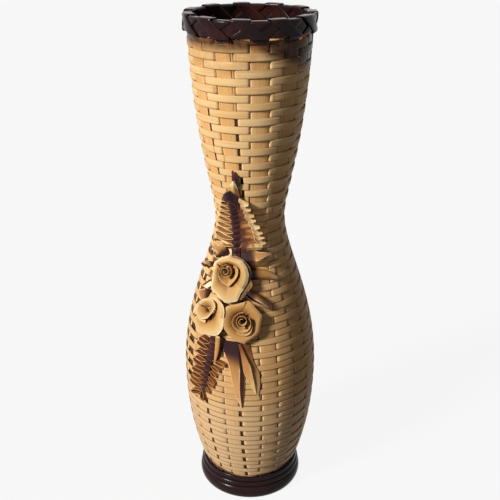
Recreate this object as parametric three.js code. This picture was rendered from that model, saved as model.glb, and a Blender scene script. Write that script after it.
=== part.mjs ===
// Woven bamboo vase on a turned foot, with a laced rim and a spray of folded roses, leaves and ferns.
// Millimetres, +Z up. The origin is the middle of the foot's flat underside, and the spray faces -Y.
// Azimuths are in degrees from -Y towards +X.
import * as THREE from "three";

const { degToRad, lerp } = THREE.MathUtils;

// Overall height, the gap left between pieces that rest on each other, and how finely places are found
const HEIGHT = 600;
const SEAT = 0.3;
const FINE = 1e-4;
const EDGE_SHARES = [0, 0.2, 0.4, 0.6, 0.8, 1];

// Wall profile, to the middle of the stakes
const WALL_FOOT_RADIUS = 57.7;
const WALL_FOOT_HANDLE = 47;
const WALL_FOOT_FLARE = 0.35;
const BELLY_RADIUS = 79.8;
const BELLY_HEIGHT = 170;
const BELLY_HANDLE_DOWN = 47;
const BELLY_HANDLE_UP = 95;
const WAIST_RADIUS = 38.6;
const WAIST_HEIGHT = 370;
const WAIST_HANDLE_DOWN = 45;
const WAIST_HANDLE_UP = 30;
const MOUTH_RADIUS = 66;
const MOUTH_HANDLE = 130;
const MOUTH_FLARE = 0.05;

// Stakes: flat upright slats, pared where the waist would pinch them together
const STAKES = 11;
const STAKE_WIDTH = 19.5;
const STAKE_THICK = 1.3;
const STAKE_SLIT = 3.6;
const STAKE_AZIMUTH = 20.5;
const STAKE_LEAN = 12.2;
const FACET_SAG = 0.5;

// Weavers: narrow splints with a crowned skin side, wound over one stake and under the next
const WEAVERS = 8;
const ROW_PITCH_FOOT = 7.5;
const ROW_PITCH_RIM = 8.7;
const ROW_GAP = 0.45;
const SPLINT_THICK = 0.9;
const SPLINT_GAP = 0.25;
const SPLINT_EASE = 0.3;
const SPLINT_TIP = 2;
const BUTT_GAP = 0.8;

// Turned foot and the beaded ring that clamps the stakes to its spigot
const FOOT_RADIUS = 61;
const FOOT_BULGE = 4.8;
const FOOT_SHOULDER = 17;
const SPIGOT_TOP = 30;
const RING_TOP = 31;
const RING_LOWER_BEAD = 63.8;
const RING_UPPER_BEAD = 62;
const RING_LIP = 0.8;
const BEAD_STEPS = 4;
const TURNED_SIDES = 33;

// Rim: two hoops clamp the stakes, and two strips lace round them in opposite directions
const HOOP_THICK = 1.6;
const HOOP_HEIGHT = 14.6;
const WRAP_WIDTH = 15;
const WRAP_THICK = 0.9;
const WRAP_GAP = 0.5;

// Roses: a rolled heart, two inner petals and three flared outer petals
const PETAL_THICK = 1.1;
const HEART_TURNS = 2;
const HEART_RADIUS = 1.4;
const HEART_PITCH = 2.6;
const HEART_TOP = 21;
const HEART_FALL = 1.6;
const HEART_STEPS = 7;
const PETAL_TILE = 2.6;
const INNER_PETALS = {
  count: 2,
  span: 215,
  steps: 6,
  foot: [9.4, 1],
  middle: [11.4, 10],
  edge: [14.2, 17.5],
};
const OUTER_PETALS = {
  count: 3,
  span: 150,
  steps: 4,
  foot: [13.4, 0.8],
  middle: [17.6, 6.5],
  edge: [22.6, 12],
};
const ROSES = [
  { name: "rose_upper", azimuth: -19.1, height: 314.4, turn: 20 },
  { name: "rose_left", azimuth: -41, height: 266, turn: 80 },
  { name: "rose_right", azimuth: -4.5, height: 266, turn: 140 },
];

// Folded leaves: each runs from its base to its tip, as azimuth, height and lift from the wall
const LEAF_THICK = 1.1;
const LEAF_TIP = 0.8;
const LEAF_STATIONS = [
  { along: 0, width: 0.6 },
  { along: 0.4, width: 1 },
  { along: 0.75, width: 0.62 },
  { along: 1, width: 0 },
];
const LEAVES = [
  { name: "leaf_right_1", base: [4, 333, 0], tip: [29, 338, 5], width: 11, fold: 3.5 },
  { name: "leaf_right_2", base: [7.5, 312, 0], tip: [32, 309, 5], width: 11, fold: 3.5 },
  { name: "leaf_right_3", base: [2, 294, 0], tip: [19, 280, 5], width: 11, fold: 3.5 },
  { name: "leaf_left_1", base: [-47, 318, 0], tip: [-74, 314, 6], width: 11, fold: 3.5 },
  { name: "leaf_left_2", base: [-45, 347, 0], tip: [-66, 345, 7], width: 10, fold: 3.5 },
  { name: "leaf_left_3", base: [-45, 333, 0], tip: [-66, 331, 6], width: 10, fold: 3.5 },
  { name: "leaf_left_4", base: [-47, 297, 0], tip: [-65, 292, 6], width: 11, fold: 3.5 },
  { name: "leaf_hanging_1", base: [-25.5, 240, 0], tip: [-28.5, 207, 3], width: 9, fold: -3.5 },
  { name: "leaf_hanging_2", base: [-12, 241, 0], tip: [-6.7, 155, 1], width: 17, fold: -5 },
  { name: "leaf_hanging_3", base: [1.5, 240, 0], tip: [6.5, 170, 1], width: 13, fold: -5 },
];

// Ferns: a rib from base to tip with a pleated fringe on each side
const FERN_THICK = 1.1;
const FERN_TAPER = 0.85;
const RIB_THICK = 2.2;
const RIB_STEPS = 5;
const FERNS = [
  {
    name: "fern_upper",
    base: [-20, 344],
    tip: [-18.5, 438],
    ribWidth: 9,
    left: { reach: 21, from: 0 },
    right: { reach: 27, from: 0 },
    pleats: 8,
    scallop: 0.16,
    sweep: 0.45,
    root: 1.2,
    valley: 3,
    peak: 8,
  },
  {
    name: "fern_lower",
    base: [-32.5, 236],
    tip: [-52, 139],
    ribWidth: 6,
    left: { reach: 17, from: 0 },
    right: { reach: 14, from: 0.35 },
    pleats: 7,
    scallop: 0.6,
    sweep: 0.5,
    root: 0.3,
    valley: 0.6,
    peak: 4,
  },
];

// Colours
const bamboo = material(0xd9a866, 0.45);
const bambooStake = material(0xcb8f4c, 0.45);
const petalBamboo = material(0xe3c08a, 0.5);
const leafBamboo = material(0xb97b3d, 0.5);
const fernBamboo = material(0x9a5f2e, 0.5);
const ribBamboo = material(0x3f2420, 0.45);
const lacquer = material(0x2a1512, 0.2);

function material(color, roughness) {
  return new THREE.MeshStandardMaterial({ color, roughness, metalness: 0 });
}

// Places that follow from the sizes above
const stakeHalf = STAKE_THICK / 2;
const skin = stakeHalf + SPLINT_GAP + SPLINT_THICK;
const wrapBuild = 2 * (WRAP_GAP + WRAP_THICK);
const hoopTop = HEIGHT - wrapBuild;
const hoopBottom = hoopTop - HOOP_HEIGHT;
const wallBottom = RING_TOP + SEAT;
const wallTop = hoopBottom - wrapBuild - SEAT;
const roundness = Math.cos(Math.PI / TURNED_SIDES);
const stakeStep = (2 * Math.PI) / STAKES;

// The wall's profile as radius and height, from the foot to the rim
const profile = new THREE.CurvePath();
const footEnd = new THREE.Vector2(WALL_FOOT_RADIUS, wallBottom);
const belly = new THREE.Vector2(BELLY_RADIUS, BELLY_HEIGHT);
const waist = new THREE.Vector2(WAIST_RADIUS, WAIST_HEIGHT);
const mouth = new THREE.Vector2(MOUTH_RADIUS, wallTop);
profile.add(
  new THREE.CubicBezierCurve(
    footEnd,
    new THREE.Vector2(WALL_FOOT_RADIUS + WALL_FOOT_FLARE * WALL_FOOT_HANDLE, wallBottom + WALL_FOOT_HANDLE),
    new THREE.Vector2(BELLY_RADIUS, BELLY_HEIGHT - BELLY_HANDLE_DOWN),
    belly,
  ),
);
profile.add(
  new THREE.CubicBezierCurve(
    belly,
    new THREE.Vector2(BELLY_RADIUS, BELLY_HEIGHT + BELLY_HANDLE_UP),
    new THREE.Vector2(WAIST_RADIUS, WAIST_HEIGHT - WAIST_HANDLE_DOWN),
    waist,
  ),
);
profile.add(
  new THREE.CubicBezierCurve(
    waist,
    new THREE.Vector2(WAIST_RADIUS, WAIST_HEIGHT + WAIST_HANDLE_UP),
    new THREE.Vector2(MOUTH_RADIUS - MOUTH_FLARE * MOUTH_HANDLE, wallTop - MOUTH_HANDLE),
    mouth,
  ),
);
const wallLength = profile.getLength();

function wallPoint(along) {
  return profile.getPoint(Math.min(Math.max(along / wallLength, 0), 1));
}

// Distance along the wall at which it reaches a height
function alongAt(height) {
  let low = 0;
  let high = wallLength;
  while (high - low > FINE) {
    const middle = (low + high) / 2;
    if (wallPoint(middle).y < height) low = middle;
    else high = middle;
  }
  return low;
}

// Outward and sideways directions at an azimuth in radians
function outward(angle) {
  return new THREE.Vector3(Math.sin(angle), -Math.cos(angle), 0);
}

function sideways(angle) {
  return new THREE.Vector3(Math.cos(angle), Math.sin(angle), 0);
}

function vector(angle, radius, height) {
  return outward(angle).multiplyScalar(radius).setZ(height);
}

// A closed solid through sections with equal numbers of corners, capped by fans or joined as a ring
function loft(sections, ring = false) {
  const corners = sections[0].length;
  const points = sections.flat();
  const index = [];
  const spans = ring ? sections.length : sections.length - 1;
  for (let i = 0; i < spans; i++) {
    const a = i * corners;
    const b = ((i + 1) % sections.length) * corners;
    for (let j = 0; j < corners; j++) {
      index.push(...splitQuad(points, a + j, b + j, b + ((j + 1) % corners), a + ((j + 1) % corners)));
    }
  }
  const last = (sections.length - 1) * corners;
  for (let j = 1; !ring && j < corners - 1; j++) {
    index.push(0, j, j + 1, last, last + j + 1, last + j);
  }
  return facingOut(points, index);
}

// Two triangles that split a four-sided face along its shorter diagonal
function splitQuad(points, a, b, c, d) {
  const shorter = points[a].distanceTo(points[c]) <= points[b].distanceTo(points[d]);
  return shorter ? [a, b, c, a, c, d] : [a, b, d, b, c, d];
}

// The geometry with its faces turned outwards
function facingOut(points, index) {
  let volume = 0;
  for (let i = 0; i < index.length; i += 3) {
    const [a, b, c] = [points[index[i]], points[index[i + 1]], points[index[i + 2]]];
    volume += a.dot(new THREE.Vector3().crossVectors(b, c));
  }
  const faces = volume < 0 ? index.slice().reverse() : index;
  return new THREE.BufferGeometry().setFromPoints(points).setIndex(faces);
}

const vase = new THREE.Group();

function add(name, geometry, look, parent = vase) {
  const mesh = new THREE.Mesh(geometry, look);
  mesh.name = name;
  parent.add(mesh);
  return mesh;
}

// Stakes

// Rows lie closer towards the foot: the distance along the wall after a number of turns, and the reverse
const pitchGrowth = (ROW_PITCH_RIM ** 2 - ROW_PITCH_FOOT ** 2) / (2 * wallLength);

function alongAfter(turns) {
  return ROW_PITCH_FOOT * turns + (pitchGrowth * turns ** 2) / 2;
}

function turnsAt(along) {
  return (2 * along) / (ROW_PITCH_FOOT + Math.sqrt(ROW_PITCH_FOOT ** 2 + 2 * pitchGrowth * along));
}

function stakeAngle(stake, along) {
  return degToRad(STAKE_AZIMUTH - (STAKE_LEAN * along) / wallLength) + stake * stakeStep;
}

function station(along) {
  const point = wallPoint(along);
  const room = point.x * Math.tan(stakeStep / 2) - STAKE_SLIT / 2;
  return { along, radius: point.x, height: point.y, half: Math.min(STAKE_WIDTH / 2, room) };
}

function staysFlat(from, to) {
  const a = wallPoint(from);
  const b = wallPoint(to);
  const chord = a.clone().add(b).multiplyScalar(0.5);
  return chord.distanceTo(wallPoint((from + to) / 2)) < FACET_SAG;
}

// A slat's bends fall between rows, so every splint lies flat on it
function stakeStations(stake) {
  const between = (row) => alongAfter(row + 0.5 + stake / STAKES);
  const stations = [station(0)];
  let start = 0;
  let row = 0;
  for (; between(row + 1) < wallLength - SPLINT_TIP; row++) {
    if (staysFlat(start, between(row + 1))) continue;
    start = between(row);
    stations.push(station(start));
  }
  stations.push(station(between(row)), station(wallLength));
  return stations;
}

const stakeLines = Array.from({ length: STAKES }, (_, stake) => stakeStations(stake));

// The slat's middle, half width, upward and outward directions at a distance along the wall
function onStake(stake, along) {
  const line = stakeLines[stake];
  const next = Math.max(1, line.findIndex((stop) => stop.along >= along));
  const [a, b] = [line[next - 1], line[next]];
  const share = (along - a.along) / (b.along - a.along);
  const angle = stakeAngle(stake, along);
  const out = outward(angle);
  const rise = new THREE.Vector2(b.radius - a.radius, b.height - a.height).normalize();
  return {
    middle: vector(angle, lerp(a.radius, b.radius, share), lerp(a.height, b.height, share)),
    half: lerp(a.half, b.half, share),
    side: sideways(angle),
    up: out.clone().multiplyScalar(rise.x).setZ(rise.y),
    normal: out.clone().multiplyScalar(rise.y).setZ(-rise.x),
  };
}

function slatSection(angle, { radius, half }, height) {
  const side = sideways(angle).multiplyScalar(half);
  const inner = vector(angle, radius - stakeHalf, height);
  const outer = vector(angle, radius + stakeHalf, height);
  return [inner.clone().sub(side), outer.clone().sub(side), outer.clone().add(side), inner.clone().add(side)];
}

function stakeGeometry(stake) {
  const line = stakeLines[stake];
  const [first, last] = [line[0], line[line.length - 1]];
  const sections = line.map((stop) => slatSection(stakeAngle(stake, stop.along), stop, stop.height));
  sections.unshift(slatSection(stakeAngle(stake, 0), first, FOOT_SHOULDER + SEAT));
  sections.push(slatSection(stakeAngle(stake, wallLength), last, hoopTop));
  return loft(sections);
}

const woven = [];

for (let stake = 0; stake < STAKES; stake++) {
  woven.push(add(`stake_${String(stake + 1).padStart(2, "0")}`, stakeGeometry(stake), bambooStake));
}

// Weavers

// The splint's section beside a slat: odd crossings pass outside it, even ones inside
function splintSection(crossing, reach) {
  const stake = ((crossing % STAKES) + STAKES) % STAKES;
  const turns = crossing / STAKES;
  const low = Math.max(alongAfter(turns - 0.5), 0) + ROW_GAP / 2;
  const high = Math.min(alongAfter(turns + 0.5), wallLength) - ROW_GAP / 2;
  const slat = onStake(stake, (low + high) / 2);
  const outside = crossing % 2 !== 0;
  const level = outside ? stakeHalf + SPLINT_GAP : -skin;
  const back = slat.middle
    .clone()
    .addScaledVector(slat.side, Math.sign(reach) * (slat.half + SPLINT_EASE) * Math.min(1, Math.abs(reach)))
    .addScaledVector(slat.normal, level);
  return [
    back.clone().addScaledVector(slat.up, (low - high) / 2),
    back.clone().addScaledVector(slat.up, (high - low) / 2),
    back.clone().addScaledVector(slat.normal, SPLINT_THICK),
  ];
}

const firstCrossing = 2 * Math.ceil((STAKES * (turnsAt(SPLINT_TIP) - 0.5)) / 2);
const lastCrossing = 2 * Math.floor((STAKES * (turnsAt(wallLength - SPLINT_TIP) + 0.5)) / 2);
const crossingsEach = 2 * Math.ceil((lastCrossing - firstCrossing) / WEAVERS / 2);
const buttReach = BUTT_GAP / STAKE_WIDTH;

for (let weaver = 0; weaver < WEAVERS; weaver++) {
  const from = firstCrossing + weaver * crossingsEach;
  const to = Math.min(from + crossingsEach, lastCrossing);
  const sections = [splintSection(from, buttReach), splintSection(from, 1)];
  for (let crossing = from + 1; crossing < to; crossing++) {
    sections.push(splintSection(crossing, -1), splintSection(crossing, 1));
  }
  sections.push(splintSection(to, -1), splintSection(to, -buttReach));
  woven.push(add(`weaver_${String(weaver + 1).padStart(2, "0")}`, loft(sections), bamboo));
}

// Turned foot and its ring

const slatCorner = Math.hypot(WALL_FOOT_RADIUS + stakeHalf, STAKE_WIDTH / 2);
const ringBore = (slatCorner + SEAT) / roundness;
const spigotRadius = WALL_FOOT_RADIUS - stakeHalf - SEAT;

function lathe(points) {
  const turned = new THREE.LatheGeometry(points, TURNED_SIDES);
  turned.rotateX(Math.PI / 2);
  return turned;
}

function bead(bottom, top, radius, root) {
  const middle = (bottom + top) / 2;
  const curve = new THREE.EllipseCurve(root, middle, radius - root, top - middle, -Math.PI / 2, Math.PI / 2);
  return curve.getPoints(BEAD_STEPS);
}

const shoulder = bead(0, FOOT_SHOULDER, FOOT_RADIUS + FOOT_BULGE, FOOT_RADIUS);
add(
  "turned_foot",
  lathe([
    new THREE.Vector2(0, 0),
    ...shoulder,
    new THREE.Vector2(spigotRadius, FOOT_SHOULDER),
    new THREE.Vector2(spigotRadius, SPIGOT_TOP),
    new THREE.Vector2(0, SPIGOT_TOP),
  ]),
  lacquer,
);

const ringBottom = FOOT_SHOULDER + SEAT;
const ringMiddle = (ringBottom + RING_TOP) / 2;
const ringRoot = ringBore + RING_LIP;
const ringOutline = [
  new THREE.Vector2(ringBore, ringBottom),
  ...bead(ringBottom, ringMiddle, RING_LOWER_BEAD, ringRoot),
  ...bead(ringMiddle, RING_TOP, RING_UPPER_BEAD, ringRoot).slice(1),
  new THREE.Vector2(ringBore, RING_TOP),
  new THREE.Vector2(ringBore, ringBottom),
];
add("foot_ring", lathe(ringOutline), lacquer);

// Rim

const mouthCorner = Math.hypot(MOUTH_RADIUS + stakeHalf, STAKE_WIDTH / 2);
const innerHoopOut = MOUTH_RADIUS - stakeHalf - SEAT;
const innerHoopIn = innerHoopOut - HOOP_THICK;
const outerHoopIn = (mouthCorner + SEAT) / roundness;
const outerHoopOut = outerHoopIn + HOOP_THICK;

function hoop(inner, outer) {
  return lathe([
    new THREE.Vector2(inner, hoopBottom),
    new THREE.Vector2(outer, hoopBottom),
    new THREE.Vector2(outer, hoopTop),
    new THREE.Vector2(inner, hoopTop),
    new THREE.Vector2(inner, hoopBottom),
  ]);
}

add("rim_hoop_inner", hoop(innerHoopIn, innerHoopOut), lacquer);
add("rim_hoop_outer", hoop(outerHoopIn, outerHoopOut), lacquer);

// Where a strip turns round the hoops, at a distance off them, each place with its share of a stake step
function wrapStops(off) {
  const outer = outerHoopOut + off;
  const inner = innerHoopIn - off;
  const middle = (hoopBottom + hoopTop) / 2;
  return [
    { radius: outer, height: hoopBottom - off, share: 0 },
    { radius: outer, height: middle, share: 0.25 },
    { radius: outer, height: hoopTop + off, share: 0.5 },
    { radius: inner, height: hoopTop + off, share: 0.5 },
    { radius: inner, height: middle, share: 0.75 },
    { radius: inner, height: hoopBottom - off, share: 1 },
  ];
}

// A strip that passes through each gap between stakes, winding in one direction
function wrap(off, direction) {
  const near = wrapStops(off);
  const far = wrapStops(off + WRAP_THICK);
  const sections = [];
  for (let turn = 0; turn < STAKES; turn++) {
    near.forEach((stop, i) => {
      const angle = stakeAngle(0.5, wallLength) + direction * (turn + stop.share) * stakeStep;
      const spread = WRAP_WIDTH / 2 / stop.radius;
      sections.push([
        vector(angle - spread, stop.radius, stop.height),
        vector(angle + spread, stop.radius, stop.height),
        vector(angle + spread, far[i].radius, far[i].height),
        vector(angle - spread, far[i].radius, far[i].height),
      ]);
    });
  }
  return loft(sections, true);
}

add("rim_wrap_under", wrap(WRAP_GAP, 1), lacquer);
add("rim_wrap_over", wrap(2 * WRAP_GAP + WRAP_THICK, -1), lacquer);

// The wall's outside as a frame: a point, its sideways, upward and outward directions, and its radius
function onWall(azimuth, height) {
  const angle = degToRad(azimuth);
  const along = alongAt(height);
  const point = wallPoint(along);
  const rise = wallPoint(along + 1).sub(wallPoint(along - 1)).normalize();
  const out = outward(angle);
  const normal = out.clone().multiplyScalar(rise.y).setZ(-rise.x);
  const radius = Math.hypot(point.x, STAKE_WIDTH / 2);
  return {
    radius,
    side: sideways(angle),
    up: out.clone().multiplyScalar(rise.x).setZ(rise.y),
    normal,
    point: vector(angle, radius, point.y).addScaledVector(normal, skin + SEAT),
  };
}

function lifted(azimuth, height, lift) {
  const place = onWall(azimuth, height);
  return place.point.addScaledVector(place.normal, lift);
}

// Points of a mesh in the vase's frame, spread along its edges
function touchPoints(mesh) {
  const { position } = mesh.geometry.attributes;
  const corner = (i) => new THREE.Vector3().fromBufferAttribute(position, i).applyMatrix4(mesh.matrixWorld);
  const faces = mesh.geometry.index.array;
  const points = [];
  faces.forEach((from, i) => {
    const to = faces[i % 3 === 2 ? i - 2 : i + 1];
    if (from > to) return;
    points.push(...EDGE_SHARES.map((share) => corner(from).lerp(corner(to), share)));
  });
  return points;
}

// The least distance from points to meshes along a direction
function leastGap(points, direction, meshes) {
  const probe = new THREE.Raycaster();
  const gaps = points.map((point) => {
    probe.set(point, direction);
    const [nearest] = probe.intersectObjects(meshes);
    return nearest ? nearest.distance : Infinity;
  });
  return Math.min(...gaps);
}

// Lays pieces on the weave: they come in along the wall's normal until a seat's gap is left
function settle(piece, normal) {
  vase.updateMatrixWorld(true);
  const region = new THREE.Box3().setFromObject(piece).expandByScalar(skin);
  const near = woven.filter((mesh) => region.intersectsBox(new THREE.Box3().setFromObject(mesh)));
  const meshes = piece.isMesh ? [piece] : piece.children;
  const wallPoints = near.flatMap(touchPoints).filter((point) => region.containsPoint(point));
  const down = leastGap(meshes.flatMap(touchPoints), normal.clone().negate(), near);
  const up = leastGap(wallPoints, normal, meshes);
  piece.position.addScaledVector(normal, SEAT - Math.min(down, up));
}

// Roses

function heartGeometry() {
  const sections = [];
  const steps = HEART_TURNS * HEART_STEPS;
  for (let i = 0; i <= steps; i++) {
    const turns = i / HEART_STEPS;
    const radius = HEART_RADIUS + HEART_PITCH * turns;
    const top = HEART_TOP - HEART_FALL * turns;
    sections.push(petalSection(turns * 2 * Math.PI, [
      [radius, 0],
      [radius, top],
    ]));
  }
  return loft(sections);
}

// A section of a petal, from the foot to the edge on its hollow side and back on its outer side
function petalSection(angle, line) {
  const out = new THREE.Vector3(Math.cos(angle), Math.sin(angle), 0);
  const hollow = line.map(([radius, height]) => out.clone().multiplyScalar(radius).setZ(height));
  const outer = hollow.map((point) => point.clone().addScaledVector(out, PETAL_THICK));
  return [...hollow, ...outer.reverse()];
}

// A petal narrows its radius along its span, so its end tucks under the next one's start
function petalGeometry(petals, copy) {
  const sections = [];
  for (let i = 0; i <= petals.steps; i++) {
    const share = i / petals.steps;
    const angle = degToRad((360 * copy) / petals.count + petals.span * share);
    const tile = PETAL_TILE * (0.5 - share);
    const line = [petals.foot, petals.middle, petals.edge];
    sections.push(petalSection(angle, line.map(([radius, height]) => [radius + tile, height])));
  }
  return loft(sections);
}

function addRose({ name, azimuth, height, turn }) {
  const place = onWall(azimuth, height);
  const rose = new THREE.Group();
  rose.quaternion.setFromRotationMatrix(new THREE.Matrix4().makeBasis(place.side, place.up, place.normal));
  rose.rotateZ(degToRad(turn));
  rose.position.copy(place.point);
  vase.add(rose);
  add(`${name}_heart`, heartGeometry(), petalBamboo, rose);
  for (let copy = 0; copy < INNER_PETALS.count; copy++) {
    add(`${name}_inner_petal_${copy + 1}`, petalGeometry(INNER_PETALS, copy), petalBamboo, rose);
  }
  for (let copy = 0; copy < OUTER_PETALS.count; copy++) {
    add(`${name}_outer_petal_${copy + 1}`, petalGeometry(OUTER_PETALS, copy), petalBamboo, rose);
  }
  settle(rose, place.normal);
}

ROSES.forEach(addRose);

// Leaves

// A positive fold lays the crease on the wall, and a negative one turns the crease outwards
function leafGeometry({ base, tip, width, fold }) {
  const at = (share) => base.map((from, i) => lerp(from, tip[i], share));
  const sections = LEAF_STATIONS.map((stop) => {
    const [azimuth, height, lift] = at(stop.along);
    const place = onWall(azimuth, height);
    const run = lifted(...at(1)).sub(lifted(...at(0)));
    const across = run.cross(place.normal).normalize();
    const half = Math.max(stop.width * width, LEAF_TIP) / 2;
    const depth = Math.abs(fold) * Math.max(stop.width, LEAF_TIP / width);
    const edgeLift = lift + (fold > 0 ? depth : 0);
    const creaseLift = lift + (fold > 0 ? 0 : depth);
    const corner = (offset, rise) =>
      place.point.clone().addScaledVector(across, offset).addScaledVector(place.normal, rise);
    const low = [corner(-half, edgeLift), corner(0, creaseLift), corner(half, edgeLift)];
    const high = low.map((point) => point.clone().addScaledVector(place.normal, LEAF_THICK));
    return fold > 0
      ? [high[1], high[0], low[0], low[1], low[2], high[2]]
      : [low[1], low[2], high[2], high[1], high[0], low[0]];
  });
  return loft(sections);
}

for (const leaf of LEAVES) {
  const [azimuth, height] = leaf.base;
  settle(add(leaf.name, leafGeometry(leaf), leafBamboo), onWall(azimuth, height).normal);
}

// Ferns

// A place on the fern: a share of the way up its rib, a distance across it and a lift from the wall
function onFern(fern, share, across, lift, forward = 0) {
  const azimuth = lerp(fern.base[0], fern.tip[0], share);
  const height = lerp(fern.base[1], fern.tip[1], share);
  const radius = onWall(azimuth, height).radius;
  const run = new THREE.Vector2(
    degToRad(fern.tip[0] - fern.base[0]) * radius,
    fern.tip[1] - fern.base[1],
  ).normalize();
  const right = new THREE.Vector2(run.y, -run.x).multiplyScalar(Math.sign(run.y));
  const moved = right.multiplyScalar(across).addScaledVector(run, forward);
  return lifted(azimuth + THREE.MathUtils.radToDeg(moved.x / radius), height + moved.y, lift);
}

function taper(share) {
  return 1 - FERN_TAPER * share;
}

function ribGeometry(fern) {
  const sections = [];
  for (let i = 0; i <= RIB_STEPS; i++) {
    const share = i / RIB_STEPS;
    const half = (fern.ribWidth / 2) * taper(share);
    sections.push([
      onFern(fern, share, -half, 0),
      onFern(fern, share, half, 0),
      onFern(fern, share, half, RIB_THICK),
      onFern(fern, share, -half, RIB_THICK),
    ]);
  }
  return loft(sections);
}

// A fringe is folded in pleats: its outer edge runs in and out and rises off the wall at each fold
function fringeGeometry(fern, fringe, hand) {
  const sections = [];
  const folds = 2 * fern.pleats;
  for (let i = 0; i <= folds; i++) {
    const share = lerp(fringe.from, 1, i / folds);
    const peak = i % 2 === 1;
    const root = (fern.ribWidth / 2) * taper(share) + SEAT;
    const reach = fringe.reach * taper(share) * (peak ? 1 : 1 - fern.scallop);
    const rise = lerp(fern.root, peak ? fern.peak : fern.valley, taper(share));
    const forward = fern.sweep * reach;
    sections.push([
      onFern(fern, share, hand * root, fern.root),
      onFern(fern, share, hand * (root + reach), rise, forward),
      onFern(fern, share, hand * (root + reach), rise + FERN_THICK, forward),
      onFern(fern, share, hand * root, fern.root + FERN_THICK),
    ]);
  }
  return loft(sections);
}

for (const fern of FERNS) {
  const spray = new THREE.Group();
  vase.add(spray);
  add(`${fern.name}_rib`, ribGeometry(fern), ribBamboo, spray);
  add(`${fern.name}_fringe_left`, fringeGeometry(fern, fern.left, -1), fernBamboo, spray);
  add(`${fern.name}_fringe_right`, fringeGeometry(fern, fern.right, 1), fernBamboo, spray);
  const [azimuth, height] = fern.base.map((from, i) => lerp(from, fern.tip[i], 0.5));
  settle(spray, onWall(azimuth, height).normal);
}

export default vase;
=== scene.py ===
# %% [markdown]
# # A woven bamboo vase
# The vase stands 600 mm tall: eleven upright stakes, long splints woven round them, a dark turned foot,
# a laced and lacquered rim, and a spray of folded roses, leaves and ferns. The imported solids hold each
# piece plainly. This lesson keeps their places and sizes and dresses them piece by piece.

import math

import bpy
import numpy as np
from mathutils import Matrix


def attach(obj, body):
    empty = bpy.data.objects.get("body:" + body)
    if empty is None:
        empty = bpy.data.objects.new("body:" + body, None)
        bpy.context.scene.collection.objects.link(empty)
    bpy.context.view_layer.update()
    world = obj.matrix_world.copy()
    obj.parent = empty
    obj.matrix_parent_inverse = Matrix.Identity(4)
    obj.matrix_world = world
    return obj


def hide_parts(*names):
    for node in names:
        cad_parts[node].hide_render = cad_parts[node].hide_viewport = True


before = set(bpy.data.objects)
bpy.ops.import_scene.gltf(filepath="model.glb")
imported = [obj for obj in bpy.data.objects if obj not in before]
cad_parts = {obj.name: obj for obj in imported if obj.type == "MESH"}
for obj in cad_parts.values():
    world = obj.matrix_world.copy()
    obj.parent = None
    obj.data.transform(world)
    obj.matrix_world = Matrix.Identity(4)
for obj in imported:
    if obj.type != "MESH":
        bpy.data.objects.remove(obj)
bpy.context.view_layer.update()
MM = 0.001

# %% [markdown]
# ## Camera
# The picture is taken from a little above the rim, looking down, so the camera stands high and tilts.
# Its place and lens were fitted to the vase's outline, which keeps the ellipses of the rim and the foot
# true. The Standard view shows colours as they are written.

# %% Camera
CAMERA_BACK = 0.8772
CAMERA_UP = 0.7168
CAMERA_TILT = 65.79
CAMERA_LENS = 57.85

camera_data = bpy.data.cameras.new("camera")
camera_data.sensor_width = 36
camera_data.lens = CAMERA_LENS
camera = bpy.data.objects.new("camera", camera_data)
camera.location = (0, -CAMERA_BACK, CAMERA_UP)
camera.rotation_euler = (math.radians(CAMERA_TILT), 0, 0)
bpy.context.scene.collection.objects.link(camera)
bpy.context.scene.camera = camera
bpy.context.scene.view_settings.view_transform = "Standard"
print("camera height in mm:", CAMERA_UP / MM)

# %% [markdown]
# ## Writing shaders as sums
# A material is a graph of nodes, and a mask in it is a sum that takes many Math nodes. Wrapping a socket
# in a small class lets Python's own operators add those nodes, so a mask reads like the sum that it is.

# %% Shader sums


class Value:
    """A shader socket that takes part in Python sums."""

    def __init__(self, finish, socket):
        self.finish, self.socket = finish, socket

    def math(self, operation, *others, clamp=False):
        settings = {"operation": operation, "use_clamp": clamp}
        return self.finish.node("ShaderNodeMath", settings, dict(enumerate((self, *others))))

    def __add__(self, other):
        return self.math("ADD", other)

    def __sub__(self, other):
        return self.math("SUBTRACT", other)

    def __rsub__(self, other):
        return self * -1 + other

    def __mul__(self, other):
        return self.math("MULTIPLY", other)

    __radd__, __rmul__ = __add__, __mul__

    def size(self):
        return self.math("ABSOLUTE")

    def between(self, low, high):
        """0 below low, 1 above high, and a smooth step between them; high may be the lower one."""
        sockets = {"Value": self, "From Min": low, "From Max": high}
        return self.finish.node("ShaderNodeMapRange", {"interpolation_type": "SMOOTHSTEP"}, sockets)


print("operators ready")

# %% [markdown]
# ## Finishes
# A finish holds one node tree. Its node method adds any node: settings come first, because they can
# change which sockets there are, and then each socket takes a value or a link. The methods after it
# are the nodes that the vase's finishes use again and again.

# %% Finishes


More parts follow.
